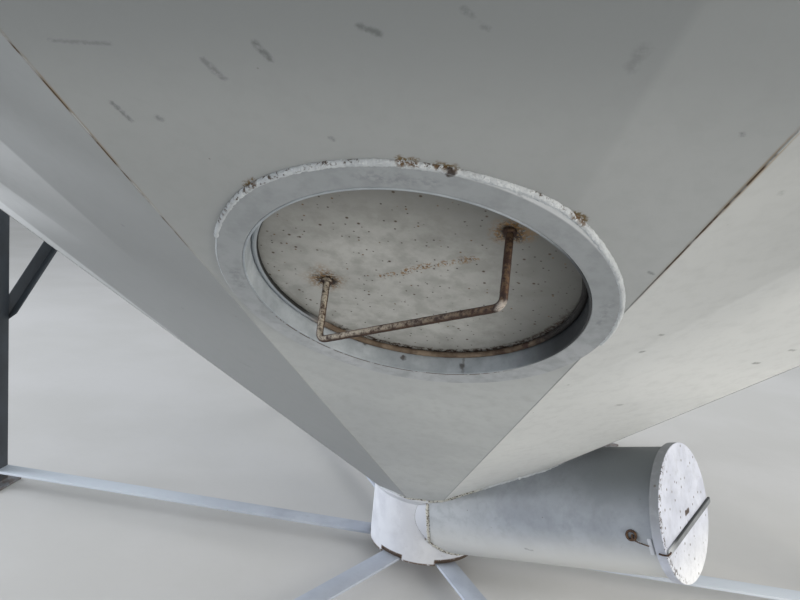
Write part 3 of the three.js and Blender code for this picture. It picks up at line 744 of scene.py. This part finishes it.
def soften(obj, edge_mm, from_degrees=30):
    """Rounds the edges that are sharper than an angle."""
    bevel = obj.modifiers.new("edge", "BEVEL")
    bevel.width = edge_mm * MM
    bevel.segments = 2
    bevel.limit_method = "ANGLE"
    bevel.angle_limit = math.radians(from_degrees)
    smooth_by_angle(plain_mesh(obj), 35)


def object_of(name, shape, paint):
    """Object from a bmesh, in one finish or in none."""
    mesh = bpy.data.meshes.new(name)
    shape.to_mesh(mesh)
    shape.free()
    if paint:
        mesh.materials.append(paint)
    return link(bpy.data.objects.new(name, mesh))


def dress(obj, body, slot, *nodes):
    """A finished piece rides its body and stands for its CAD nodes, which are hidden; the slot is not used.
    """
    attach(obj, body)
    if nodes:
        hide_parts(*nodes)


# First letters of the names, then the bevel in millimetres, the paint and its slot
STEEL_KINDS = {
    "leg_": (2.5, SHADED_LEG_PAINT, "frame_paint"),
    "brace_": (1.0, SHADED_LEG_PAINT, "frame_paint"),
    "ground_tie_": (1.2, SKY_LIT_TIE_PAINT, "frame_paint"),
    "wall_band_": (1.0, BAND_PAINT, "band_paint"),
}
steel_pieces = [(name, kind) for name in sorted(NODES) for kind in STEEL_KINDS if name.startswith(kind)]
for name, kind in steel_pieces:
    edge_mm, paint, slot_name = STEEL_KINDS[kind]
    shape = bmesh.new()
    shape.from_mesh(NODES[name].data)
    bmesh.ops.remove_doubles(shape, verts=shape.verts, dist=0.02 * MM)
    bmesh.ops.dissolve_limit(shape, angle_limit=math.radians(0.5), verts=shape.verts, edges=shape.edges)
    piece = object_of(name + "_steel", shape, paint)
    soften(piece, edge_mm)
    dress(piece, "hopper", slot_name, name)
print("steel pieces with soft edges:", len(steel_pieces))

# %% [markdown]
# ## Turned pieces
#
# The manhole ring, its neck, the lid, the collar and the cap are round. A Screw modifier or a Spin
# would turn a profile, but building the rings of points directly keeps the mesh closed and even. Each
# corner of a profile is rounded first, with an extra point on each side that keeps the flats flat.

# %% Profiles with round corners
ON_AXIS = 0.001


def rectangle(left, right, bottom, top):
    """Corners of an upright rectangle."""
    return [(left, bottom), (right, bottom), (right, top), (left, top)]


def curve_points(start, corner, end, steps):
    """Points of a small curve that starts and ends in two points and bends towards a corner."""
    shares = [i / steps for i in range(steps + 1)]
    return [start * (1 - t) ** 2 + corner * 2 * t * (1 - t) + end * t ** 2 for t in shares]


def rounded_profile(corners, radius):
    """Closed profile of (radius, height) corners, each one rounded by a small curve."""
    points = []
    for i, corner in enumerate(corners):
        here = Vector(corner)
        back = Vector(corners[i - 1]) - here
        ahead = Vector(corners[(i + 1) % len(corners)]) - here
        if here.x < ON_AXIS:
            points.append(here)
            continue
        bend_at = min(radius, 0.3 * back.length, 0.3 * ahead.length)
        back, ahead = back.normalized() * bend_at, ahead.normalized() * bend_at
        points += [here + back * 1.5, *curve_points(here + back, here, here + ahead, 3), here + ahead * 1.5]
    return points


def divided(profile, step_mm):
    """The same closed profile with more points where its neighbours lie far apart."""
    points = []
    for point, ahead in zip(profile, profile[1:] + profile[:1]):
        parts = max(1, int((ahead - point).length / step_mm))
        points += [point.lerp(ahead, t / parts) for t in range(parts)]
    return points


# %% [markdown]
# Turning a profile is then simple: each of its points gives a ring of points, or a single one on the
# axis, and faces join neighbouring rings.

# %% Turn a profile round an axis
def ring_faces(rings):
    """Faces between neighbouring rings of point numbers; the last ring joins the first."""
    faces = []
    for ring, after in zip(rings, rings[1:] + rings[:1]):
        for i in range(len(ring)):
            j = (i + 1) % len(ring)
            face = [ring[i], ring[j], after[j], after[i]]
            face = [v for n, v in enumerate(face) if v != face[n - 1]]
            if len(face) > 2:
                faces.append(face)
    return faces


def closed_shape(name, points, faces, paint):
    """Object from points and faces, with its faces turned outwards."""
    mesh = bpy.data.meshes.new("raw")
    mesh.from_pydata(points, [], faces)
    shape = bmesh.new()
    shape.from_mesh(mesh)
    bpy.data.meshes.remove(mesh)
    bmesh.ops.recalc_face_normals(shape, faces=shape.faces)
    obj = object_of(name, shape, paint)
    smooth_by_angle(obj.data, 40)
    return obj


def turned(name, profile, matrix, paint, segments=192, swell=None):
    """Closed mesh of a profile turned round the Z axis of a frame; swell moves points, in millimetres."""
    rings, points = [], []
    for radius, height in profile:
        if radius < ON_AXIS:
            rings.append([len(points)] * segments)
            points.append(Vector((0, 0, height)))
            continue
        rings.append(list(range(len(points), len(points) + segments)))
        points += [Vector((*polar(radius, math.tau * i / segments), height)) for i in range(segments)]
    if swell:
        points = [swell(point) for point in points]
    return closed_shape(name, [matrix @ (point * MM) for point in points], ring_faces(rings), paint)


# %% [markdown]
# ## Manhole
#
# A flat ring is welded on the plate round a short neck, and the lid rests on a rod inside the neck.
# The ring's outer edge was cut by hand and bulges a little in two places. The lid was cut from 5 mm
# plate and is a little crowned from years of leaning grain, by 3 mm here. Both could come from a
# Shrinkwrap or a Lattice, but moving the points as the rings are built needs no modifier.

# %% Ring, neck and lid
RING_INNER, RING_OUTER, RING_FACE = 304.3, 349, 6
NECK_INNER, NECK_OUTER = 300, 304
NECK_BACK, NECK_FACE = -75, 6.4
LID_RADIUS = 294
LID_BACK, LID_FACE = -45.3, -40.3
LID_CROWN = 3.0


def hand_cut_edge(v):
    """Moves a point of the ring's outer edge out to where the torch cut it."""
    reach = math.hypot(v.x, v.y)
    if reach < (RING_INNER + RING_OUTER) / 2:
        return v
    grown = 1 + hand_cut(math.degrees(math.atan2(v.y, v.x))) / reach
    return Vector((v.x * grown, v.y * grown, v.z))


def crown(v):
    """Lifts the lid's middle towards the grain, like a very shallow dish."""
    reach = min(1.0, math.hypot(v.x, v.y) / LID_RADIUS)
    return Vector((v.x, v.y, v.z - LID_CROWN * (1 - reach ** 2)))


ring_profile = rounded_profile(rectangle(RING_INNER, RING_OUTER, PIECE_GAP, RING_FACE), 1.2)
ring = turned("manhole_flat_ring", ring_profile, MANHOLE, RING_PAINT, swell=hand_cut_edge)
dress(ring, "hopper", "manhole_paint", "manhole_ring")

neck_profile = rounded_profile(rectangle(NECK_INNER, NECK_OUTER, NECK_BACK, NECK_FACE), 1.0)
neck = turned("manhole_rolled_neck", neck_profile, MANHOLE, NECK_PAINT)
dress(neck, "hopper", "manhole_paint", "manhole_neck")

lid_profile = divided(rounded_profile(rectangle(0, LID_RADIUS, LID_BACK, LID_FACE), 1.2), 36)
lid = turned("manhole_crowned_lid", lid_profile, MANHOLE, LID_PAINT, swell=crown)
dress(lid, "lid", "lid_paint", "manhole_lid")
print("manhole ring faces:", len(ring.data.polygons))

# %% [markdown]
# ## Rods and weld beads that follow a path
#
# Handle, seat rod, wire and every weld bead are the same idea: a round section carried along a path,
# more or less uneven. That is a job for Geometry Nodes. The tree resamples the path, sweeps a circle
# along it and pushes its points in and out by noise. Width, step and unevenness are its inputs.

# %% The tree that carries a round section along a path
path_tree = bpy.data.node_groups.new("round_section_along_path", "GeometryNodeTree")
FLOAT = "NodeSocketFloat"
INPUTS = {"Path": "NodeSocketGeometry", "Width": FLOAT, "Step": FLOAT, "Unevenness": FLOAT,
          "Lump Length": FLOAT, "Sides": "NodeSocketInt", "Seed": FLOAT, "Finish": "NodeSocketMaterial"}
for label, kind in INPUTS.items():
    path_tree.interface.new_socket(label, in_out="INPUT", socket_type=kind)
path_tree.interface.new_socket("Piece", in_out="OUTPUT", socket_type="NodeSocketGeometry")


def path_node(kind, inputs=None, **settings):
    """Adds a node to the path tree and gives its first output."""
    return add_node(path_tree, kind, inputs, **settings).outputs[0]


given = add_node(path_tree, "NodeGroupInput").outputs
curve = path_node("GeometryNodeMeshToCurve", {0: given["Path"]})
even = path_node("GeometryNodeResampleCurve", {"Curve": curve, "Length": given["Step"]}, mode="LENGTH")
half = path_node("ShaderNodeMath", {0: given["Width"], 1: 0.5}, operation="MULTIPLY")
section = path_node("GeometryNodeCurvePrimitiveCircle", {"Resolution": given["Sides"], "Radius": half})
swept = path_node("GeometryNodeCurveToMesh", {"Curve": even, "Profile Curve": section, "Fill Caps": True})

# Noise with lumps of the given length pushes every point along the surface's normal.
here = path_node("GeometryNodeInputPosition")
outward = path_node("GeometryNodeInputNormal")
per_metre = path_node("ShaderNodeMath", {0: 1.0, 1: given["Lump Length"]}, operation="DIVIDE")
lump_inputs = {"Vector": here, "W": given["Seed"], "Scale": per_metre, "Detail": 2.0}
lumps = path_node("ShaderNodeTexNoise", lump_inputs, noise_dimensions="4D")
centred = path_node("ShaderNodeMath", {0: lumps, 1: 0.5}, operation="SUBTRACT")
push = path_node("ShaderNodeMath", {0: centred, 1: given["Unevenness"]}, operation="MULTIPLY")
shift = path_node("ShaderNodeVectorMath", {0: outward, "Scale": push}, operation="SCALE")
moved = path_node("GeometryNodeSetPosition", {"Geometry": swept, "Offset": shift})
smooth = path_node("GeometryNodeSetShadeSmooth", {0: moved})
finished = path_node("GeometryNodeSetMaterial", {0: smooth, "Material": given["Finish"]})
add_node(path_tree, "NodeGroupOutput", {0: finished})
print("nodes in the path tree:", len(path_tree.nodes))

# %% [markdown]
# A path is handed to the tree as a mesh of points and edges. Each piece made this way becomes a plain
# mesh at once, rides its body and stands for its CAD node where it has one.

# %% Carry it along paths
def carried(name, body, slot, paths, finish, node=None, **values):
    """One piece from several paths; a path is a list of points, closed when its ends are the same."""
    points, edges = [], []
    for path in paths:
        closed = (path[0] - path[-1]).length < 1e-6
        first = len(points)
        points += path[:-1] if closed else path
        edges += [(i, i + 1) for i in range(first, len(points) - 1)]
        if closed:
            edges.append((len(points) - 1, first))
    mesh = bpy.data.meshes.new(name)
    mesh.from_pydata(points, edges, [])
    obj = link(bpy.data.objects.new(name, mesh))
    modifier = obj.modifiers.new("carry", "NODES")
    modifier.node_group = path_tree
    lengths = {"Width": "width_mm", "Step": "step_mm", "Unevenness": "uneven_mm", "Lump Length": "lump_mm"}
    inputs = {label: values[key] * MM for label, key in lengths.items()}
    inputs |= {"Sides": values["sides"], "Seed": values["seed"], "Finish": finish}
    for item in path_tree.interface.items_tree:
        if item.name in inputs:
            modifier[item.identifier] = inputs[item.name]
    print(name, "faces:", len(plain_mesh(obj).polygons))
    dress(obj, body, slot, *([node] if node else []))


def circle_path(radius, height, matrix, start=0.0, sweep=360.0, steps=180, swell=None):
    """Path round the Z axis of a frame, in millimetres and degrees; swell widens it at an angle."""
    path = []
    for i in range(steps + 1):
        degrees = start + sweep * i / steps
        reach = radius + (swell(degrees) if swell else 0)
        path.append(matrix @ (Vector((*polar(reach, math.radians(degrees)), height)) * MM))
    if sweep == 360.0:
        path[-1] = path[0]
    return path


# %% [markdown]
# ## Handle and seat rod
#
# The handle is one 13 mm rod, bent by hand in two places and welded to the lid at both feet. Its
# corners are rounded with short curves before the section is carried along them.

# %% Bent handle and seat hoop
HANDLE_BEND = 18
HANDLE_ROD = 13.0
FOOT_WELD_RADIUS, FOOT_WELD_LEVEL = 7.5, -39.2
HOOP_RADIUS, HOOP_LEVEL = 293.7, -34
HOOP_ROD = 12.0

first, left_corner, right_corner, last = [Vector(corner) for corner in HANDLE_CORNERS]
handle_points = [first]
for before, corner, after in ((first, left_corner, right_corner), (left_corner, right_corner, last)):
    start = corner + (before - corner).normalized() * HANDLE_BEND
    end = corner + (after - corner).normalized() * HANDLE_BEND
    handle_points += curve_points(start, corner, end, 8)
handle_points.append(last)
carried("bent_rod_handle", "lid", "rusty_rod", [[in_manhole(*point) for point in handle_points]], ROD_RUST_AND_HIGHLIGHT,
        "lid_handle", width_mm=HANDLE_ROD, step_mm=3.0, uneven_mm=1.0, lump_mm=9, sides=20, seed=3)

foot_frames = [MANHOLE @ Matrix.Translation(Vector((foot.x, foot.y, 0)) * MM) for foot in (first, last)]
foot_welds = [circle_path(FOOT_WELD_RADIUS, FOOT_WELD_LEVEL, foot, steps=40) for foot in foot_frames]
carried("handle_foot_welds", "lid", "rusty_rod", foot_welds, ROD_RUST_AND_HIGHLIGHT,
        width_mm=8.0, step_mm=2.0, uneven_mm=7.0, lump_mm=9, sides=10, seed=5)

carried("seat_hoop", "hopper", "rusty_rod", [circle_path(HOOP_RADIUS, HOOP_LEVEL, MANHOLE)], SEAT_RUST_AND_SHADE,
        "manhole_seat", width_mm=HOOP_ROD, step_mm=5.0, uneven_mm=1.4, lump_mm=10, sides=16, seed=7)

# %% [markdown]
# ## Weld beads
#
# The ring's outer edge carries a thick fillet weld over its top and right, which thins out to the
# left. The twelve seams were ground nearly flush. Other beads close the joints at the rim, the collar
# and the feet of the legs. Each follows the line where two pieces meet, worked out from their shapes.

# %% Beads round the ring, along the seams and at the rim
SEAM_FROM, SEAM_TO, SEAM_POINTS = 238, 1905, 60
RIM_RADIUS = 1908.5
# Where the thick and the thin bead run round the ring: first angle and sweep, in degrees
THICK_ARC = (-14, 172)
THIN_ARC = (156, 48)


def cone_height(x, y):
    """Height of the plates' outer faces above a point of the floor, in metres."""
    reach = max(x * math.cos(k * SEAM_STEP) + y * math.sin(k * SEAM_STEP) for k in range(12))
    return CONE_POINT + reach * math.tan(PLATE_SLOPE)


def on_cone(radius_mm, azimuth, lift_mm=0.0):
    """Point on the plates' outer faces, or a little above them."""
    x, y = polar(radius_mm * MM, azimuth)
    return Vector((x, y, cone_height(x, y) + lift_mm * MM))


fillet = circle_path(RING_OUTER + 1.5, 1.2, MANHOLE, *THICK_ARC, 220, hand_cut)
carried("ring_fillet_weld", "hopper", "manhole_paint", [fillet], BEAD_PAINT,
        width_mm=11.5, step_mm=2.0, uneven_mm=4.0, lump_mm=6, sides=14, seed=11)
thin_fillet = circle_path(RING_OUTER + 0.6, 1.0, MANHOLE, *THIN_ARC, 80)
carried("ring_thin_weld", "hopper", "manhole_paint", [thin_fillet], BEAD_PAINT,
        width_mm=6.0, step_mm=2.5, uneven_mm=2.0, lump_mm=9, sides=10, seed=12)

seam_radii = [SEAM_FROM + (SEAM_TO - SEAM_FROM) * i / (SEAM_POINTS - 1) for i in range(SEAM_POINTS)]
seams = [[on_cone(radius, (k + 0.5) * SEAM_STEP, 1.3) for radius in seam_radii] for k in range(12)]
carried("ground_seam_welds", "hopper", "cone_paint", seams, FLUSH_PAINT,
        width_mm=3.6, step_mm=7, uneven_mm=1.0, lump_mm=14, sides=8, seed=13)

rim = [on_cone(RIM_RADIUS, math.tau * i / 720) for i in range(720)]
carried("rim_weld", "hopper", "cone_paint", [rim + rim[:1]], FLUSH_PAINT,
        width_mm=9.0, step_mm=9, uneven_mm=3.5, lump_mm=14, sides=8, seed=17)

# %% [markdown]
# ## Discharge tube
#
# The tube is rolled sheet, sawn to a saddle where it meets the cone and the collar. Cutting a plain
# tube with a Boolean would leave long thin faces that shade badly. Instead each line of points along
# the tube starts just where that line leaves the cone or the collar, found by halving the distance.

# %% Saddle line and tube
TUBE_RADIUS = 192
TUBE_WALL = 4
TUBE_END = 988.7
TUBE_LINES = 192
TUBE_ROWS = 24
HALVINGS = 20
BEAD_RADIUS = TUBE_RADIUS + 0.5


def leaves_hopper(angle, radius_mm):
    """Distance along the tube, in millimetres, at which a line on it comes clear of cone and collar."""
    def inside(along):
        p = in_tube(*polar(radius_mm, angle), along)
        in_cone = p.z > cone_height(p.x, p.y) - PIECE_GAP * MM
        return in_cone or math.hypot(p.x, p.y) < COLLAR_RADIUS * MM

    low = next(along for along in range(int(TUBE_END), 0, -4) if inside(along))
    high = low + 4
    for _ in range(HALVINGS):
        middle = (low + high) / 2
        low, high = (middle, high) if inside(middle) else (low, middle)
    return high


points = []
angles = [math.tau * i / TUBE_LINES for i in range(TUBE_LINES)]
forward, backward = range(TUBE_ROWS + 1), range(TUBE_ROWS, -1, -1)
for radius, rows in ((TUBE_RADIUS, forward), (TUBE_RADIUS - TUBE_WALL, backward)):
    starts = [leaves_hopper(angle, radius) for angle in angles]
    for row in rows:
        points += [in_tube(*polar(radius, angle), start + (TUBE_END - start) * row / TUBE_ROWS)
                   for angle, start in zip(angles, starts)]
rings = [list(range(i, i + TUBE_LINES)) for i in range(0, len(points), TUBE_LINES)]
tube = closed_shape("rolled_discharge_tube", points, ring_faces(rings), TUBE_PAINT)
dress(tube, "hopper", "tube_paint", "discharge_tube")

# The bead follows the saddle, but on the collar's side it keeps to the upright line of the paint.
saddle = []
for i in range(180):
    angle = math.tau * i / 180
    across, up = polar(BEAD_RADIUS, angle)
    upright = (JOINT_LEVEL - JOINT_SLANT.dot(in_tube(across, up, 0))) / JOINT_SLANT.dot(tube_along) / MM
    saddle.append(in_tube(across, up, max(leaves_hopper(angle, BEAD_RADIUS) + 1, upright)))
carried("tube_saddle_weld", "hopper", "tube_paint", [saddle + saddle[:1]], BEAD_PAINT,
        width_mm=10.0, step_mm=2.5, uneven_mm=9.0, lump_mm=9, sides=12, seed=19)

# %% [markdown]
# ## Outlet collar
#
# The collar is a sleeve that flares out to catch the plates. A low opening with round corners is burnt
# out of it over each of the six ties, and it is open to the tube. A dense turned sleeve is cut with
# exact Booleans here, because its faces are so small that the cuts don't show in the shading.

# %% Shapes that cut the collar
# How far down, in and out the cutting shapes reach, then the openings over the ties and under the tube
FOOT, INNER, OUTER = 20, 30, 300
GATE_HALF, GATE_TOP, GATE_CORNER = 45, 88, 12
UNDER_LEFT, UNDER_RIGHT, UNDER_TOP = -62, 76, 92


def prism(name, outline, low, high, matrix, paint=None, along_x=False):
    """Prism over a flat outline, between two levels of the frame's Z axis or of its X axis, in mm."""
    count = len(outline)
    points = [(level, a, b) if along_x else (a, b, level) for level in (low, high) for a, b in outline]
    faces = [list(range(count)), list(range(count, 2 * count))]
    faces += [[i, (i + 1) % count, count + (i + 1) % count, count + i] for i in range(count)]
    return closed_shape(name, [matrix @ (Vector(point) * MM) for point in points], faces, paint)


arc = [polar(GATE_CORNER, math.pi / 2 * i / 8) for i in range(9)]
side, top = GATE_HALF - GATE_CORNER, GATE_TOP - GATE_CORNER
gate = [(-GATE_HALF, FOOT), (GATE_HALF, FOOT)]
gate += [(side + x, top + y) for x, y in arc] + [(-side - y, top + x) for x, y in arc]
bore = [polar(TUBE_RADIUS + PIECE_GAP, angle) for angle in angles]
under_tube = rectangle(UNDER_LEFT, UNDER_RIGHT, FOOT, UNDER_TOP)

cutters = [prism("bore", bore, 20, 900, TUBE)]
for k in range(6):
    turn = Matrix.Rotation(k * TIE_STEP, 4, "Z")
    cutters.append(prism(f"gate_{k}", gate, INNER, OUTER, turn, along_x=True))
turn = Matrix.Rotation(TUBE_AZIMUTH, 4, "Z")
cutters.append(prism("under_tube", under_tube, INNER, OUTER, turn, along_x=True))
print("cutting shapes:", len(cutters))

# %% [markdown]
# The sleeve's profile runs up its outer face, out along the flare and back down inside. The cutting
# shapes are removed once their cuts are part of the mesh, and a bead closes the joint to the plates.

# %% Collar with the openings over the ties and the one to the tube
COLLAR_INNER, COLLAR_FOOT, COLLAR_TOP = 207, 70, 331
FLARE_INNER, FLARE_OUTER = 231.7, 235.7
FLARE_BEAD = 236.5
# Beside the flare the tube counts as clear beyond this radius, at this height.
CLEAR_RADIUS, CLEAR_HEIGHT = 198 * MM, 330 * MM

collar_corners = [(COLLAR_INNER, COLLAR_FOOT), (COLLAR_RADIUS, COLLAR_FOOT), (COLLAR_RADIUS, 298),
                  (FLARE_OUTER, 323), (FLARE_OUTER, COLLAR_TOP), (FLARE_INNER, COLLAR_TOP),
                  (COLLAR_INNER, 302)]
collar_profile = divided(rounded_profile(collar_corners, 1.5), 14)
collar = turned("flared_outlet_collar", collar_profile, Matrix.Identity(4), COLLAR_PAINT)
for tool in cutters:
    cut = collar.modifiers.new("cut", "BOOLEAN")
    cut.object = tool
    cut.operation = "DIFFERENCE"
    cut.solver = "EXACT"
smooth_by_angle(plain_mesh(collar), 40)
for tool in cutters:
    bpy.data.objects.remove(tool)
dress(collar, "hopper", "outlet_paint", "outlet_collar")

# The bead round the flare leaves out the part that lies inside the tube.
junction = []
for i in range(180):
    point = on_cone(FLARE_BEAD, math.tau * i / 180, -0.5)
    in_bore = TUBE.inverted() @ Vector((point.x, point.y, CLEAR_HEIGHT))
    junction.append((math.hypot(in_bore.x, in_bore.y) > CLEAR_RADIUS or in_bore.z < 0, point))
first = next(i for i in range(180) if junction[i][0] and not junction[i - 1][0])
bead = [point for clear, point in junction[first:] + junction[:first] if clear]
carried("collar_weld", "hopper", "outlet_paint", [bead], BEAD_PAINT,
        width_mm=7.0, step_mm=3, uneven_mm=5.0, lump_mm=8, sides=8, seed=23)

# %% [markdown]
# ## Cap and its lashing
#
# A shallow cap slips over the tube's mouth. A flat strap crosses its face, and a wire from a rusty
# ring on the tube's side holds it. Strap and link come off with the cap; ring, wire and clip stay.

# %% Cap and strap
CAP_INNER, CAP_OUTER = 199, 204
CAP_BACK, CAP_MOUTH = 989, 964
cap_corners = [(0, CAP_BACK), (CAP_INNER, CAP_BACK), (CAP_INNER, CAP_MOUTH), (CAP_OUTER, CAP_MOUTH),
               (CAP_OUTER, CAP_FACE), (0, CAP_FACE)]
cap = turned("slip_on_cap", divided(rounded_profile(cap_corners, 2.0), 24), TUBE, CAP_PAINT)
dress(cap, "cap", "cap_paint", "tube_cap")

end = strap_run.length
outline = [(4, -10), (end - 4, -10), (end, -6), (end, 6), (end - 4, 10), (4, 10), (0, 6), (0, -6)]
strap = prism("flat_cap_strap", outline, 0, 6, strap_frame, STRAP_PAINT)
soften(strap, 1.2, from_degrees=50)
dress(strap, "cap", "strap_paint", "cap_strap")
print("strap length:", round(end), "mm")

# %% [markdown]
# The lashing is thin stock. Ring, wire and link are short paths with the same round section as the
# rods, and the clip is a small flat bar.

# %% Ring, wire, clip and link
# Paths of the lashing as across, up, along in the tube's frame, and of the ring's eye in its own
WIRE = [(-196, -27, 905), (-199, -33, 920), (-197, -38, 934), (-194, -43, 947)]
LINK = [(-199, -60, 974), (-201, -62, 986), (-199, -63, 998), (-188, -62, 1001), (-178, -61, 1000)]
EYE = [(-2, 3, 2), (-2, -7, 1), (-1, -15, 0)]
RING_PLACE = Vector((-195.5, -15, 900))
CLIP_PLACE = Vector((-187.5, -46.5, 949.5))

ring_frame = TUBE @ Matrix.Translation(RING_PLACE * MM) @ Matrix.Rotation(math.radians(90), 4, "Y")
eye = [ring_frame @ (Vector(point) * MM) for point in EYE]
carried("lashing_ring", "hopper", "rusty_rod", [circle_path(13.5, 0, ring_frame, steps=48), eye], ROD_RUST_AND_HIGHLIGHT,
        width_mm=7.5, step_mm=2.0, uneven_mm=2.0, lump_mm=5, sides=12, seed=29)
carried("lashing_wire", "hopper", "rusty_rod", [[in_tube(*point) for point in WIRE]], ROD_RUST_AND_HIGHLIGHT,
        width_mm=3.6, step_mm=2.0, uneven_mm=0.8, lump_mm=5, sides=8, seed=31)

clip_turn = Matrix.Rotation(math.atan2(-CLIP_PLACE.y, -CLIP_PLACE.x), 4, "Z")
clip_frame = TUBE @ Matrix.Translation(CLIP_PLACE * MM) @ clip_turn
clip = prism("lashing_clip", rectangle(-2, 3, -24, 24), -6, 6, clip_frame, COLLAR_PAINT)
soften(clip, 1.0)
dress(clip, "hopper", "tube_paint")

carried("lashing_link", "cap", "rusty_rod", [[in_tube(*point) for point in LINK]], ROD_RUST_AND_HIGHLIGHT,
        width_mm=5.0, step_mm=2.0, uneven_mm=0.8, lump_mm=5, sides=10, seed=37)

# %% [markdown]
# ## Floor and light
#
# A plain pale floor lies under the legs. Under the cone most light comes back up from it, so its
# brightness matters as much as the lamps. A broad lamp to the right stands for the open side, a
# weaker one lights the left, and the light from all round is an even pale blue.

# %% Floor, lamps and light from all round
HALF_FLOOR = 40.0
CORNERS = [(-1, -1), (1, -1), (1, 1), (-1, 1)]
floor_mesh = bpy.data.meshes.new("pale_floor")
floor_mesh.from_pydata([(x * HALF_FLOOR, y * HALF_FLOOR, 0) for x, y in CORNERS], [], [(0, 1, 2, 3)])
floor = link(bpy.data.objects.new("pale_floor", floor_mesh))
# Matt painted studio floor
coat = start_coat("pale_studio_floor", "#c6c6c4", "#cccccb", "#bfbfbd", 900, 0.2)
floor_mesh.materials.append(close_coat(coat, matt=0.9, gloss=0.8, peel_mm=0.05))
floor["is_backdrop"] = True


def soft_lamp(name, place, target, size, watts, tint):
    """Square lamp that looks from a place at a target."""
    lamp = link(bpy.data.objects.new(name, bpy.data.lights.new(name, "AREA")))
    lamp.data.shape = "SQUARE"
    lamp.data.size = size
    lamp.data.energy = watts
    lamp.data.color = colour(tint)[:3]
    lamp.location = place
    lamp.rotation_euler = (Vector(target) - Vector(place)).to_track_quat("-Z", "Y").to_euler()


soft_lamp("open_side", (5.5, -4.0, 2.6), (0.2, -0.6, 0.7), 4.0, 350, "#fff8ee")
soft_lamp("far_side", (-9.0, -1.0, 1.9), (-0.8, -1.0, 1.1), 4.5, 770, "#f4f7ff")
soft_lamp("behind", (1.5, 5.5, 3.5), (0.0, 0.5, 0.0), 3.0, 60, "#ffffff")

world = bpy.data.worlds.new("overcast_light")
bpy.context.scene.world = world
world.use_nodes = True
background = world.node_tree.nodes["Background"]
background.inputs["Color"].default_value = colour("#e9edf1")
background.inputs["Strength"].default_value = 0.63
bpy.context.scene.view_settings.view_transform = "Standard"
print("lamps:", len(bpy.data.lights))

# %% [markdown]
# ## Finish
#
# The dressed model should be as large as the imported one.

# %% Sizes and table
final_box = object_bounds()
boxes = {"cad": [list(corner) for corner in CAD_BOX], "visual": [list(corner) for corner in final_box]}
for label, box in boxes.items():
    print(label, "box:", [[round(v, 3) for v in corner] for corner in box])
